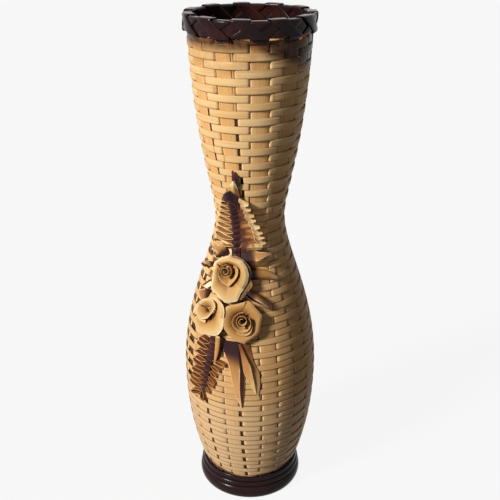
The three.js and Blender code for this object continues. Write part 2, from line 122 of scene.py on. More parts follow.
class Finish:
    """A material whose nodes are added one by one."""

    def __init__(self, tree):
        self.tree = tree

    @classmethod
    def new(cls, name):
        material = bpy.data.materials.new(name)
        material.use_nodes = True
        finish = cls(material.node_tree)
        finish.material = material
        finish.surface = material.node_tree.nodes["Principled BSDF"]
        return finish

    def feed(self, socket, value):
        if isinstance(value, Value):
            self.tree.links.new(value.socket, socket)
        else:
            socket.default_value = value

    def node(self, kind, settings=(), sockets=(), output=0):
        node = self.tree.nodes.new(kind)
        for key, value in dict(settings).items():
            if key == "stops":
                ramp = node.color_ramp.elements
                for position, _ in value[2:]:
                    ramp.new(position)
                for element, (position, colour) in zip(ramp, value):
                    element.position, element.color = position, colour
            else:
                setattr(node, key, value)
        for key, value in dict(sockets).items():
            self.feed(node.inputs[key], value)
        return Value(self, node.outputs[output])

    def mix(self, factor, first, second):
        return self.node("ShaderNodeMix", {"data_type": "RGBA"}, {0: factor, 6: first, 7: second}, 2)

    def attribute(self, name):
        return self.node("ShaderNodeAttribute", {"attribute_name": name}, (), 1)

    def spot(self):
        return self.node("ShaderNodeTexCoord", (), (), "Object")

    def parts(self, vector):
        return [self.node("ShaderNodeSeparateXYZ", (), {0: vector}, i) for i in range(3)]

    def stretched(self, vector, scale):
        return self.node("ShaderNodeVectorMath", {"operation": "MULTIPLY"}, {0: vector, 1: scale})

    def noise(self, vector, scale, detail, roughness):
        sockets = {"Vector": vector, "Scale": scale, "Detail": detail, "Roughness": roughness}
        return self.node("ShaderNodeTexNoise", (), sockets)

    def bump(self, height, strength, depth_mm):
        sockets = {"Height": height, "Strength": strength, "Distance": depth_mm * MM}
        return self.node("ShaderNodeBump", (), sockets)

    def set(self, **sockets):
        for name, value in sockets.items():
            self.feed(self.surface.inputs[name.replace("_", " ")], value)


def shade(red, green, blue):
    return (red, green, blue, 1.0)


print("finish tools ready")

# %% [markdown]
# ## Light and floor
# One sun from the front left gives the shadows that fall to the right, and a weak sky fills the rest.
# The floor and the sky are white to the camera, to mirrors and to glass only. A Light Path node tells
# those rays from light that bounces, so the vase isn't lit by that white.

# %% Sun and sky
SUN_AZIMUTH = -53
SUN_HEIGHT = 31
SUN_POWER = 4.6
SUN_SIZE = 12
SUN_COLOUR = (1.0, 0.965, 0.91)
SKY_POWER = 0.085
SKY_TINT = shade(1, 0.88, 1)
WHITE = shade(1, 1, 1)


def seen_directly(finish):
    """1 for rays from the camera and from mirror or glass, 0 for light that bounces."""
    flags = [finish.node("ShaderNodeLightPath", (), (), name) for name in
             ("Is Camera Ray", "Is Glossy Ray", "Is Transmission Ray")]
    return flags[0].math("MAXIMUM", flags[1]).math("MAXIMUM", flags[2])


sun_data = bpy.data.lights.new("sun", "SUN")
sun_data.energy = SUN_POWER
sun_data.angle = math.radians(SUN_SIZE)
sun_data.color = SUN_COLOUR
sun = bpy.data.objects.new("sun", sun_data)
sun.rotation_euler = (math.radians(90 - SUN_HEIGHT), 0, math.radians(SUN_AZIMUTH))
bpy.context.scene.collection.objects.link(sun)

world = bpy.data.worlds.new("sky")
world.use_nodes = True
bpy.context.scene.world = world
sky = Finish(world.node_tree)
background = world.node_tree.nodes["Background"].inputs
sky.feed(background["Color"], sky.mix(seen_directly(sky), SKY_TINT, WHITE))
sky.feed(background["Strength"], SKY_POWER + (1 - SKY_POWER) * seen_directly(sky))
print("lit from azimuth", SUN_AZIMUTH)

# %% Floor
FLOOR_PAINT = shade(0.2, 0.2, 0.2)
FLOOR_WHITE = 0.82
FLOOR_GLOW = 1.1
FLOOR_REACH = 20.0
FLOOR_DROP = 0.3

floor_mesh = bpy.data.meshes.new("floor")
corners = [(FLOOR_REACH * x, FLOOR_REACH * y, 0) for x, y in ((-1, -1), (1, -1), (1, 1), (-1, 1))]
floor_mesh.from_pydata(corners, [], [(0, 1, 2, 3)])
floor = bpy.data.objects.new("floor", floor_mesh)
floor.location.z = -FLOOR_DROP * MM
bpy.context.scene.collection.objects.link(floor)

ground = Finish.new("white_floor")
floor_mesh.materials.append(ground.material)
paint = ground.node("ShaderNodeBsdfDiffuse", (), {"Color": FLOOR_PAINT})
glow = ground.node("ShaderNodeEmission", (), {"Color": WHITE, "Strength": FLOOR_GLOW})
both = ground.node("ShaderNodeMixShader", (), {0: FLOOR_WHITE * seen_directly(ground), 1: paint, 2: glow})
ground.feed(ground.tree.nodes["Material Output"].inputs["Surface"], both)
print("floor side in m:", 2 * FLOOR_REACH)

# %% [markdown]
# ## The wall's line
# Every woven piece follows the same wall: a foot, a belly, a waist and a flared mouth. A curve with a
# Screw modifier could draw that wall, but each strip has to know its own place on it, so it is kept as
# numbers. Three Bezier curves give its radius and height, and walking along them gives the distance
# that the rows use. Below and above them the line runs straight on, where the stakes go into the foot
# and the rim.

# %% Wall line
WALL_BOTTOM, WALL_TOP = 31.3, 579.5
FOOT_R, BELLY_R, WAIST_R, MOUTH_R = 57.7, 79.8, 38.6, 66.0
BELLY_Z, WAIST_Z = 170.0, 370.0
TUCK, RISE = 14.0, 17.4
CURVE_STEPS = 401


def bezier(*points):
    share = np.linspace(0, 1, CURVE_STEPS)[:, None]
    rest = 1 - share
    a, b, c, d = (np.array(p, float) for p in points)
    return rest**3 * a + 3 * rest**2 * share * b + 3 * rest * share**2 * c + share**3 * d


curves = [
    bezier((FOOT_R, WALL_BOTTOM), (74.15, 78.3), (BELLY_R, 123), (BELLY_R, BELLY_Z)),
    bezier((BELLY_R, BELLY_Z), (BELLY_R, 265), (WAIST_R, 325), (WAIST_R, WAIST_Z)),
    bezier((WAIST_R, WAIST_Z), (WAIST_R, 400), (59.5, 449.5), (MOUTH_R, WALL_TOP)),
]
line = np.concatenate([curves[0], curves[1][1:], curves[2][1:]])
walk = np.concatenate([[0], np.cumsum(np.hypot(*np.diff(line, axis=0).T))])
WALL_LENGTH = walk[-1]
line = np.concatenate([[(FOOT_R, WALL_BOTTOM - TUCK)], line, [(MOUTH_R, WALL_TOP + RISE)]])
walk = np.concatenate([[-TUCK], walk, [WALL_LENGTH + RISE]])
slope = np.gradient(line, walk, axis=0)
slope /= np.linalg.norm(slope, axis=1)[:, None]
print("wall length in mm:", round(WALL_LENGTH, 1))

# %% Places on the wall
SKIN = 1.5


def on_line(along, values):
    return np.interp(along, walk, values)


def radius_at(along):
    return on_line(along, line[:, 0])


def height_at(along):
    return on_line(along, line[:, 1])


def along_at(height):
    return np.interp(height, line[:, 1], walk)


def wall(angle, along):
    """Points on the wall's middle with their outward and upward directions, as rows of three."""
    angle, along = np.broadcast_arrays(np.asarray(angle, float), np.asarray(along, float))
    flat = np.zeros_like(angle)
    out = np.stack([np.sin(angle), -np.cos(angle), flat], -1)
    top = np.stack([flat, flat, flat + 1], -1)
    run, climb = on_line(along, slope[:, 0])[..., None], on_line(along, slope[:, 1])[..., None]
    point = out * radius_at(along)[..., None] + top * height_at(along)[..., None]
    return point, out * climb - top * run, out * run + top * climb


def place(azimuth, height, lift):
    """Points at azimuths in degrees and heights, lifted off the weave's outside."""
    point, normal, _ = wall(np.radians(azimuth), along_at(height))
    return point + normal * (SKIN + np.asarray(lift, float))[..., None]


print("front of the belly in mm:", place(0.0, BELLY_Z, 0.0).round(1))

# %% [markdown]
# ## Building solids
# Strips and turned pieces are lofts: rings of points joined by four-sided faces. Petals and leaves are
# sheets: a grid of points given a thickness and a rounded edge. Bevelled curves and the Solidify
# modifier could make both. Here the points are made directly, because each one also keeps how far along
# and across its strip it lies, so that the grain can follow the strip.

# %% Lofts


def unit(vectors):
    return vectors / np.maximum(np.linalg.norm(vectors, axis=-1, keepdims=True), 1e-9)


def loft_faces(rings, corners, closed=False):
    """Faces between rings of corners. An open row of rings gets a face at each end."""
    i, j = np.meshgrid(np.arange(rings if closed else rings - 1), np.arange(corners), indexing="ij")
    a, b = i * corners, ((i + 1) % rings) * corners
    k = (j + 1) % corners
    faces = np.stack([a + j, a + k, b + k, b + j], -1).reshape(-1, 4).tolist()
    if not closed:
        faces.append(np.arange(corners)[::-1].tolist())
        faces.append((np.arange(corners) + (rings - 1) * corners).tolist())
    return faces


print("faces of a box of two rings:", len(loft_faces(2, 4)))

# %% Sheets
EDGE_ROUND = 0.45


def sheet_body(grid, thick):
    """A sheet's points and faces, and the grid point that each of its points came from."""
    along, across = np.gradient(grid, axis=0), np.gradient(grid, axis=1)
    normal = unit(np.cross(along, across)) * thick / 2
    edge = np.zeros_like(grid)
    edge[0], edge[-1] = -unit(along[0]), unit(along[-1])
    edge[:, 0] -= unit(across[:, 0])
    edge[:, -1] += unit(across[:, -1])
    count = grid.shape[0] * grid.shape[1]
    index = np.arange(count).reshape(grid.shape[:2])
    border = np.concatenate([index[0, :-1], index[:-1, -1], index[-1, :0:-1], index[:0:-1, 0]])
    rim = (grid + unit(edge) * thick * EDGE_ROUND).reshape(-1, 3)[border]
    points = np.concatenate([(grid + normal).reshape(-1, 3), (grid - normal).reshape(-1, 3), rim])
    front = np.stack([index[:-1, :-1], index[:-1, 1:], index[1:, 1:], index[1:, :-1]], -1).reshape(-1, 4)
    ring = np.arange(len(border)) + 2 * count
    next_ring, next_border = np.roll(ring, -1), np.roll(border, -1)
    upper = np.stack([next_border, border, ring, next_ring], -1)
    lower = np.stack([next_ring, ring, border + count, next_border + count], -1)
    faces = np.concatenate([front, front[:, ::-1] + count, upper, lower]).tolist()
    return points, faces, np.concatenate([np.arange(count)] * 2 + [border])


def sheet_places(grid, seed, tone):
    """Each grid point's place along and across the sheet: in mm with a seed, and as shares with a tone."""
    length = np.cumsum(np.linalg.norm(np.diff(grid, axis=0, prepend=grid[:1]), axis=2), axis=0)
    width = np.cumsum(np.linalg.norm(np.diff(grid, axis=1, prepend=grid[:, :1]), axis=2), axis=1)
    strip = np.stack([length, width, np.full_like(length, seed)], -1)
    shares = np.meshgrid(np.linspace(0, 1, len(grid)), np.linspace(-1, 1, len(grid[0])), indexing="ij")
    lay = np.stack([*shares, np.full_like(length, tone)], -1)
    return strip.reshape(-1, 3), lay.reshape(-1, 3)


print("sheet edges stand out by", EDGE_ROUND, "of the thickness")

# %% Solids
SHARP = 42


class Solids:
    """Points, faces and strip places of one piece, which may hold several closed bodies."""

    def __init__(self):
        self.points, self.faces, self.strip, self.lay, self.count = [], [], [], [], 0

    def add(self, points, faces, strip, lay):
        """One more closed body. If its faces point inwards, they are turned round."""
        points = np.asarray(points, float).reshape(-1, 3)
        volume = sum(
            float(points[f[0]] @ np.cross(points[f[k]], points[f[k + 1]]))
            for f in faces for k in range(1, len(f) - 1)
        )
        turned = [f[::-1] for f in faces] if volume < 0 else faces
        self.points.append(points)
        self.faces += [[n + self.count for n in f] for f in turned]
        self.strip.append(np.asarray(strip, float).reshape(-1, 3))
        self.lay.append(np.asarray(lay, float).reshape(-1, 3))
        self.count += len(points)
        return self

    def loft(self, rings, strip, lay, closed=False):
        return self.add(rings, loft_faces(*rings.shape[:2], closed), strip, lay)

    def sheet(self, grid, thick, seed, tone):
        """One more sheet. Its seed keeps its fibres unlike those of other sheets."""
        points, faces, came_from = sheet_body(grid, thick)
        strip, lay = sheet_places(grid, seed, tone)
        return self.add(points, faces, strip[came_from], lay[came_from])

    def piece(self, name, finish, slot):
        """The Blender object that stands in for the solid of the same name."""
        mesh = bpy.data.meshes.new(name)
        mesh.from_pydata((np.concatenate(self.points) * MM).tolist(), [], self.faces)
        for label, rows in (("strip", self.strip), ("lay", self.lay)):
            layer = mesh.attributes.new(label, "FLOAT_VECTOR", "POINT")
            layer.data.foreach_set("vector", np.concatenate(rows).astype(np.float32).ravel())
        mesh.shade_smooth()
        mesh.set_sharp_from_angle(angle=math.radians(SHARP))
        mesh.materials.append(finish.material)
        made = bpy.data.objects.new(name, mesh)
        bpy.context.scene.collection.objects.link(made)
        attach(made, "root")
        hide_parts(name)


print("solids ready")

# %% [markdown]
# ## Bamboo
# Split bamboo is a bundle of straight fibres under varnish. A picture of bamboo would repeat on so many
# strips, so noise that is stretched along the strip draws the fibres, a slower noise gives each strip
# its own tone, and a darker ring marks a joint of the cane. The varnish is amber round the belly and
# paler near the foot. Close to the rim and the foot the dark lacquer was brushed past its edge onto the
# weave.

# %% Brushed lacquer
LACQUER = shade(0.016, 0.0065, 0.0075)
LACQUER_THIN = shade(0.10, 0.024, 0.008)
FOOT_LINE, FOOT_SAG, FOOT_RAGGED, FOOT_FADE = 32.5, 0.0026, 16.0, (3.5, -1.5)
RIM_LINE, RIM_SLANT, RIM_RAGGED, RIM_FADE = 571.0, 0.46, 14.0, (-8.0, 4.0)
SLANT_FROM = 8.0


def brushed_lacquer(f, spot, x, z):
    """How thick the lacquer lies, with the noises of its splashes and its smears."""
    smear = f.noise(f.stretched(spot, (38, 38, 60)), 1.0, 3.0, 0.6)
    splash = f.noise(spot, 160.0, 2.0, 0.5)
    foot_line = FOOT_LINE + x * x * FOOT_SAG + (smear - 0.5) * FOOT_RAGGED
    slant = (x - SLANT_FROM).math("MAXIMUM", 0) * RIM_SLANT
    rim_line = RIM_LINE - slant + (smear - 0.5) * RIM_RAGGED
    foot_coat = z.between(*(foot_line + step for step in FOOT_FADE))
    rim_coat = z.between(*(rim_line + step for step in RIM_FADE))
    return (foot_coat + rim_coat).math("MINIMUM", 1.0), splash, smear


print("lacquer brushed down to about", RIM_LINE, "mm")

# %% [markdown]
# ## Splints and stakes
# A splint is painted darker along its edges, as shade in the gaps between rows, and where it runs
# inside, as shade in the slots behind the stakes. A stake is painted pale along its cut edges, partly its
# pith and partly a painted highlight, and the one on the belly's left flank is painted with the shade of
# the loose rows there. These masks use two things that every point keeps: its share across the strip,
# and its swing in or out.

# %% Bamboo finish
# Pale colour for the stakes' cut edges: partly their pith, partly a painted highlight along the edge.
PITH_AND_HIGHLIGHT = shade(0.90, 0.69, 0.40)
# Near-black brown painted as shade: in the slots where splints dive behind stakes, and on the shaded slat.
PAINTED_SHADE = shade(0.055, 0.023, 0.011)
AMBER = shade(0.58, 0.345, 0.145)
# Dark brown painted as shade along the splints' edges, in the gaps between rows, stronger lower down.
ROW_EDGE_SHADE = shade(0.21, 0.09, 0.028)
AMBER_BELOW, BLEACHED_BELOW, EDGE_SHADE_BELOW = (340, 270), (185, 115), (430, 330)
CANE_JOINT = 170.0
FIBRE_STRETCH, THREAD_STRETCH, CLOUD_STRETCH = (0.014, 1.0, 5.3), (0.03, 4.2, 3.7), (0.022, 0.06, 1.9)
AMBER_SHARE, BLEACHED_SHARE, FIBRE_SHARE, THREAD_SHARE, JOINT_SHARE = 0.75, 0.8, 0.42, 0.25, 0.5
PITH_AND_HIGHLIGHT_SHARE, SLAT_SHADE = 0.8, 0.9
DIVE_SHADE, SLOT_SHADE = 0.6, 0.96


# Painted shade: a mask for the stake on the belly's left flank, darkened where the loose rows would shade it.
def shaded_slat(x, y, z, edge):
    flank = y.between(-36, -28) * y.between(16, 6) * x.between(0, -20)
    return flank * z.between(172, 190) * z.between(350, 335) * edge.size().between(0.86, 0.78)


def bamboo(name, pale, deep, vein, bleached, is_stake):
    f = Finish.new(name)
    strip, spot = f.attribute("strip"), f.spot()
    along, _, seed = f.parts(strip)
    swing, edge, tone = f.parts(f.attribute("lay"))
    x, y, z = f.parts(f.stretched(spot, (1 / MM, 1 / MM, 1 / MM)))
    fibres = f.noise(f.stretched(strip, FIBRE_STRETCH), 1.0, 4.0, 0.6)
    threads = f.noise(f.stretched(strip, THREAD_STRETCH), 1.0, 2.0, 0.5)
    cloud = f.noise(f.stretched(strip, CLOUD_STRETCH), 1.0, 2.0, 0.5)
    depth = tone * 0.6 + cloud * 0.9
    colour = f.mix(depth.math("SUBTRACT", 0.25, clamp=True), pale, deep)
    colour = f.mix(z.between(*AMBER_BELOW) * AMBER_SHARE, colour, AMBER)
    colour = f.mix(z.between(*BLEACHED_BELOW) * BLEACHED_SHARE, colour, bleached)
    colour = f.mix(fibres.between(0.48, 0.72) * FIBRE_SHARE, colour, vein)
    colour = f.mix(threads.between(0.55, 0.75) * THREAD_SHARE, colour, vein)
    joint = (along + seed * 61.0).math("PINGPONG", CANE_JOINT)
    colour = f.mix(joint.between(1.6, 0.4) * JOINT_SHARE, colour, vein)
    if is_stake:
        # Painted pale along both cut edges: partly pith, partly a painted highlight.
        colour = f.mix(edge.size().between(0.84, 0.95) * PITH_AND_HIGHLIGHT_SHARE, colour, PITH_AND_HIGHLIGHT)
        # Painted shade on that flank's stake.
        colour = f.mix(shaded_slat(x, y, z, edge) * SLAT_SHADE, colour, PAINTED_SHADE)
    else:
        # Painted shade along the splint's edges, for the gaps between rows.
        edge_shade = z.between(*EDGE_SHADE_BELOW) * 0.35 + 0.4
        colour = f.mix(edge.size().between(0.7, 0.98) * edge_shade, colour, ROW_EDGE_SHADE)
        # Painted shade where the splint runs inside, seen through the slots, deepest right behind a stake.
        colour = f.mix(swing.between(-0.1, -0.85) * DIVE_SHADE, colour, PAINTED_SHADE)
        colour = f.mix(swing.between(-0.9, -0.99) * SLOT_SHADE, colour, PAINTED_SHADE)
    coat, splash, smear = brushed_lacquer(f, spot, x, z)
    lacquer_shade = f.mix(splash.between(0.4, 0.62), LACQUER_THIN, LACQUER)
    colour = f.mix(z.between(520, 572) * smear.between(0.38, 0.62) * 0.5, colour, vein)
    colour = f.mix(coat * (0.82 + splash * 0.18), colour, lacquer_shade)
    rough = 0.46 - coat * 0.24 + (fibres - 0.5) * 0.2
    grain = f.bump(fibres * 0.5 + threads * 0.5, 0.35, 0.35)
    f.set(Base_Color=colour, Roughness=rough, Normal=grain, Specular_IOR_Level=0.08)
    return f


splint_finish = bamboo(
    "varnished_splint", shade(0.88, 0.63, 0.325), shade(0.76, 0.48, 0.21), shade(0.38, 0.175, 0.052),
    shade(0.66, 0.465, 0.265), is_stake=False)
stake_finish = bamboo(
    "varnished_stake", shade(0.82, 0.515, 0.225), shade(0.70, 0.38, 0.135), shade(0.34, 0.14, 0.036),
    shade(0.65, 0.455, 0.25), is_stake=True)
print("bamboo finishes ready")

# %% [markdown]
# ## Stakes
# Eleven flat slats stand round the wall and lean a little as they rise. A split slat keeps some of the
# cane's roundness, so its section bends with the wall. The slats are pared at the waist, where there is
# least room. A bevelled curve could make one, but a loft lets each edge wander by itself, as a knife
# leaves it. Near the rim two slats are split, so a narrow sliver stands beside each.

# %% Slats
STAKES = 11
STAKE_STEP = 2 * math.pi / STAKES
STAKE_HALF = 9.75
STAKE_SLIT = 1.8
STAKE_THICK = 0.72
STAKE_FOOT, STAKE_LEAN = math.radians(20.5), math.radians(12.2)
EDGE_WANDER, WANDER_STEP = 0.18, 7

SLAT = np.array([
    (-1, -0.6), (-0.97, -1), (-0.5, -1), (0, -1), (0.5, -1), (0.97, -1), (1, -0.6), (1, -0.3), (0.98, 0.2),
    (0.93, 0.68), (0.85, 0.95), (0.5, 1.04), (0, 1.07), (-0.5, 1.04), (-0.85, 0.95), (-0.93, 0.68),
    (-0.98, 0.2), (-1, -0.3),
])


def stake_angle(number, along):
    return STAKE_FOOT - STAKE_LEAN * np.clip(along / WALL_LENGTH, 0, 1) + number * STAKE_STEP


def stake_half(along):
    return np.minimum(STAKE_HALF, radius_at(along) * math.tan(STAKE_STEP / 2) - STAKE_SLIT)


def wander(chance, count):
    """A smooth wavering along a row of places."""
    knots = chance.normal(0, 0.5, count // WANDER_STEP + 3)
    return EDGE_WANDER * np.interp(np.arange(count) / WANDER_STEP, np.arange(len(knots)), knots)


def slat(number, low, left, right, chance, tone):
    """A slat between two shares of the stake's width, from a low distance along the wall to the rim."""
    high = WALL_LENGTH + RISE
    along = np.linspace(low, high, max(12, int((high - low) / 3.5)))
    edges = [stake_half(along) * share + wander(chance, len(along)) for share in (left, right)]
    middle, width = (edges[0] + edges[1]) / 2, (edges[1] - edges[0]) / 2
    across = middle[:, None] + width[:, None] * SLAT[:, 0]
    along = along[:, None] + 0 * across
    angle = stake_angle(number, along) + across / radius_at(along)
    point, normal, _ = wall(angle, along)
    rings = point + normal * (SLAT[:, 1] * STAKE_THICK)[None, :, None]
    strip = np.stack([along, across, np.full_like(across, number * 3.3 + left)], -1)
    lay = np.stack([0 * across + 1, SLAT[:, 0] + 0 * across, 0 * across + tone], -1)
    return rings, strip, lay


for where, height in (("belly", BELLY_Z), ("waist", WAIST_Z)):
    print("slat width in mm at the", where, round(2 * float(stake_half(along_at(height))), 1))

# %% Stakes
SPLIT_FROM = {10: 500.0, 9: 505.0}
SPLIT_AT, SLIVER_AT = 0.72, 0.80

chance = np.random.default_rng(11)
for number in range(STAKES):
    tone = chance.uniform(0.2, 0.8)
    split = SPLIT_FROM.get(number)
    solids = Solids().loft(*slat(number, -TUCK, -1, SPLIT_AT if split else 1, chance, tone))
    if split:
        solids.loft(*slat(number, along_at(split), SLIVER_AT, 1, chance, tone))
    solids.piece(f"stake_{number + 1:02d}", stake_finish, "stake_bamboo")
print("stakes:", STAKES)

# %% [markdown]
# ## Weavers
# Each splint winds up round the wall, outside one stake and inside the next. Closed rings would be
# simpler, but weavers work in one long spiral, and over an odd number of stakes it changes sides at
# each turn. The rows grow a little wider from the foot to the rim: the distance climbed is a sum of the
# turns and of their square, and solving it for the turns gives the row at any place.

# %% Rows
WEAVERS = 8
PITCH_FOOT, PITCH_RIM = 7.5, 8.7
PITCH_GROWTH = (PITCH_RIM**2 - PITCH_FOOT**2) / (2 * WALL_LENGTH)


def along_after(turns):
    return PITCH_FOOT * turns + PITCH_GROWTH * turns**2 / 2


def turns_at(along):
    return 2 * along / (PITCH_FOOT + math.sqrt(PITCH_FOOT**2 + 2 * PITCH_GROWTH * along))


print("turns from foot to rim:", round(turns_at(WALL_LENGTH), 1))

# %% [markdown]
# ## Over and under
# A plain wave in and out would look like soft cloth. A stiff splint stays outside as long as it can and
# dives close to the stake that it passes behind, so the wall looks like brickwork. A cosine of a raised
# share gives that late dive. On the belly's left flank the weave is loose: each splint dives early on
# one side, which leaves a window, and the splint seen in it is painted dark as shade.

# %% Over and under
SPLINT_EASE = 0.5
BUTT = 0.04
DIVE = 14.0
EARLY_DIVE, EARLY_BEND = 2.6, 1.5
LOOSE_SIDE, LOOSE_HEIGHT = (-88, -46), (172, 345)
ON_SLAT = np.array([-1, -0.6, -0.2, 0.2, 0.6, 1])
OFF_SLAT = np.array([0.05, 0.1, 0.17, 0.27, 0.42, 0.64, 0.88])


def looseness(at):
    """Where the weave is open: on the belly's left flank alone."""
    along = along_after(at / STAKES)
    angle = stake_angle(at, along)
    azimuth = np.degrees(np.arctan2(np.sin(angle), np.cos(angle)))
    height = height_at(along)
    beside = (azimuth > LOOSE_SIDE[0]) & (azimuth < LOOSE_SIDE[1])
    return beside & (height > LOOSE_HEIGHT[0]) & (height < LOOSE_HEIGHT[1])


def splint_places(first, last):
    """Places along a splint, as crossing numbers, with the swing outwards, from -1 to 1, at each."""
    crossing = np.arange(first, last + 1)[:, None]
    along = along_after(crossing / STAKES)
    lap = (stake_half(along) + SPLINT_EASE) / (radius_at(along) * STAKE_STEP)
    steps = np.concatenate([-OFF_SLAT[::-1] - 1, ON_SLAT, OFF_SLAT + 1])
    size = np.abs(steps)
    offset = np.sign(steps) * np.where(size <= 1, size * lap, lap + (size - 1) * (0.5 - lap))
    outside = crossing % 2 == 1
    gone = np.clip(size - 1, 0, 1) / 2
    share = np.where(outside, gone, 1 - gone)
    at = crossing + offset
    early = looseness(at) * (outside == (offset < 0))
    early_share = np.clip(share * EARLY_DIVE, 0, 1) ** EARLY_BEND
    swing = np.cos(np.pi * (share**DIVE * (1 - early) + early_share * early))
    keep = (at > first + BUTT * lap[0]) & (at < last - BUTT * lap[-1])
    return at[keep], swing[keep]


print("places for each crossing:", len(ON_SLAT) + 2 * len(OFF_SLAT))

# %% [markdown]
# ## Splints
# A Curve modifier could bend a long bar along the path, but on a rising spiral it twists. So the
# section of a splint is carried along point by point and turned to face outwards. Small random steps of
# place, width, lean and tone keep the rows from looking stamped. Behind a stake the splint is drawn
# wider than its row, so that little light comes through the wall. From the waist up it bows out a
# little.

# %% Splints
ROW_GAP = 0.04
SPLINT_HALF = 0.36
SPLINT_SEAT = 0.06
SPLINT_TIP = 2.0
DIVE_WIDER, BACK_WIDER = 0.12, 0.32
FLOAT_BOW = ((250, 350), (0.0, 0.6))
TONE_STEP = 5
PLACE_WANDER, WIDTH_WANDER, BOW_WANDER, LEAN_WANDER, TONE_WANDER = 0.13, 0.02, 0.03, 0.02, 0.14
MOST_PLACE, MOST_LEAN = 0.25, 0.04

SPLINT = np.array([
    (-1, -0.5), (-0.96, -1), (-0.45, -1), (0.45, -1), (0.96, -1), (1, -0.5), (1, 0.45),
    (0.95, 0.9), (0.65, 1.12), (0.22, 1.24), (-0.22, 1.24), (-0.65, 1.12), (-0.95, 0.9), (-1, 0.45),
])


def splint(first, last, chance, seed):
    at, swing = splint_places(first, last)
    knots = np.arange(first - 1, last + 2)

    def draw(spread):
        return np.interp(at, knots, chance.normal(0, spread, len(knots)))

    low = np.maximum(along_after(at / STAKES - 0.5), 0) + ROW_GAP / 2
    high = np.minimum(along_after(at / STAKES + 0.5), WALL_LENGTH) - ROW_GAP / 2
    middle = (low + high) / 2 + np.clip(draw(PLACE_WANDER), -MOST_PLACE, MOST_PLACE)
    wider = DIVE_WIDER * np.clip((0.7 - swing) / 0.7, 0, 1) + BACK_WIDER * np.clip((-0.8 - swing) / 0.2, 0, 1)
    half = (high - low) / 2 * (1 - np.abs(draw(WIDTH_WANDER)) + wider)
    point, normal, up = wall(stake_angle(at, middle), middle)
    arch = np.cos(np.clip(np.abs(at % 2 - 1), 0, 0.8) * np.pi / 1.6)
    bow = np.abs(draw(BOW_WANDER)) + arch * np.interp(point[:, 2], *FLOAT_BOW)
    bow = np.clip(swing, 0, 1) * bow
    path = point + normal * (swing * (STAKE_THICK + SPLINT_SEAT + SPLINT_HALF) + bow)[:, None]
    run = unit(np.gradient(path, axis=0))
    face = unit(np.cross(run, up))
    lean = np.clip(draw(LEAN_WANDER), -MOST_LEAN, MOST_LEAN)
    across = unit(np.cross(face, run) + face * lean[:, None])
    face = unit(np.cross(run, across))
    sideways = half[:, None] * SPLINT[:, 0]
    rings = path[:, None] + across[:, None] * sideways[..., None]
    rings = rings + face[:, None] * (SPLINT[:, 1] * SPLINT_HALF)[None, :, None]
    length = np.concatenate([[0], np.cumsum(np.linalg.norm(np.diff(path, axis=0), axis=1))])
    slow_knots = np.arange(first, last + TONE_STEP + 1, TONE_STEP)
    slow = np.interp(at, slow_knots, chance.uniform(0, 1, len(slow_knots)))
    tone = np.clip(slow * 0.8 + draw(TONE_WANDER) + 0.1, 0, 1)
    flat = np.zeros(rings.shape[:2])
    strip = np.stack([length[:, None] + flat, sideways, flat + seed], -1)
    lay = np.stack([swing[:, None] + flat, SPLINT[:, 0] + flat, tone[:, None] + flat], -1)
    return Solids().loft(rings, strip, lay)


first_crossing = 2 * math.ceil(STAKES * (turns_at(SPLINT_TIP) - 0.5) / 2)
last_crossing = 2 * math.floor(STAKES * (turns_at(WALL_LENGTH - SPLINT_TIP) + 0.5) / 2)
each = 2 * math.ceil((last_crossing - first_crossing) / WEAVERS / 2)
chance = np.random.default_rng(8)
for weaver in range(WEAVERS):
    start = first_crossing + weaver * each
    end = min(start + each, last_crossing)
    splint(start, end, chance, weaver * 7.7).piece(f"weaver_{weaver + 1:02d}", splint_finish, "weaver_bamboo")
print("weavers:", WEAVERS, "crossings:", last_crossing - first_crossing)

# %% [markdown]
# ## Lacquer
# The foot and the rim carry a thick dark lacquer. It is nearly black where it pooled and red-brown
# where it is thin. Its surface is softly uneven, which breaks up the highlights. Those waves are too
# low to show in the outline, so bump is enough for them.

# %% Lacquer finish


def lacquer(name, thin_share, waviness):
    f = Finish.new(name)
    pool = f.noise(f.spot(), 55.0, 3.0, 0.55)
    fine = f.noise(f.spot(), 420.0, 2.0, 0.5)
    thin = (pool + fine * 0.3).between(0.58, 0.82) * thin_share
    colour = f.mix(thin, LACQUER, LACQUER_THIN)
    rough = 0.15 + (pool - 0.5).size() * 0.2 + fine * 0.05
    waves = f.bump(pool + fine * 0.25, waviness, 0.6)
    f.set(Base_Color=colour, Roughness=rough, Normal=waves, Specular_IOR_Level=0.1)
    return f


foot_finish = lacquer("turned_lacquer", 0.06, 0.1)
rim_finish = lacquer("rim_lacquer", 0.2, 0.4)
print("lacquer finishes ready")

# %% [markdown]
# ## Turned foot
# The foot was turned on a lathe: a broad round bead at the floor, and a ring of two lesser beads above
# it that hides the stakes' ends. A profile spun round the axis is the same process. The ring's profile
# closes on itself, while the foot's starts and ends on the axis, so two round faces close it.

# %% Turning
ROUND_SIDES = 144


def half_bead(low, high, root, crest, steps=14):
    angle = np.linspace(-np.pi / 2, np.pi / 2, steps)
    radius = root + (crest - root) * np.cos(angle)
    return np.stack([radius, (low + high) / 2 + (high - low) / 2 * np.sin(angle)], 1)


def spun(profile):
    """A closed profile of radius and height spun round the axis, with places for the grain."""
    radius, height = np.asarray(profile, float).T
    angle = np.linspace(0, 2 * np.pi, ROUND_SIDES, endpoint=False)[:, None]
    rings = np.stack([radius * np.sin(angle), -radius * np.cos(angle), height + 0 * angle], -1)
    strip = np.stack([angle * radius, height + 0 * angle, 0 * angle * radius], -1)
    return rings, strip, np.zeros_like(strip) + 0.5


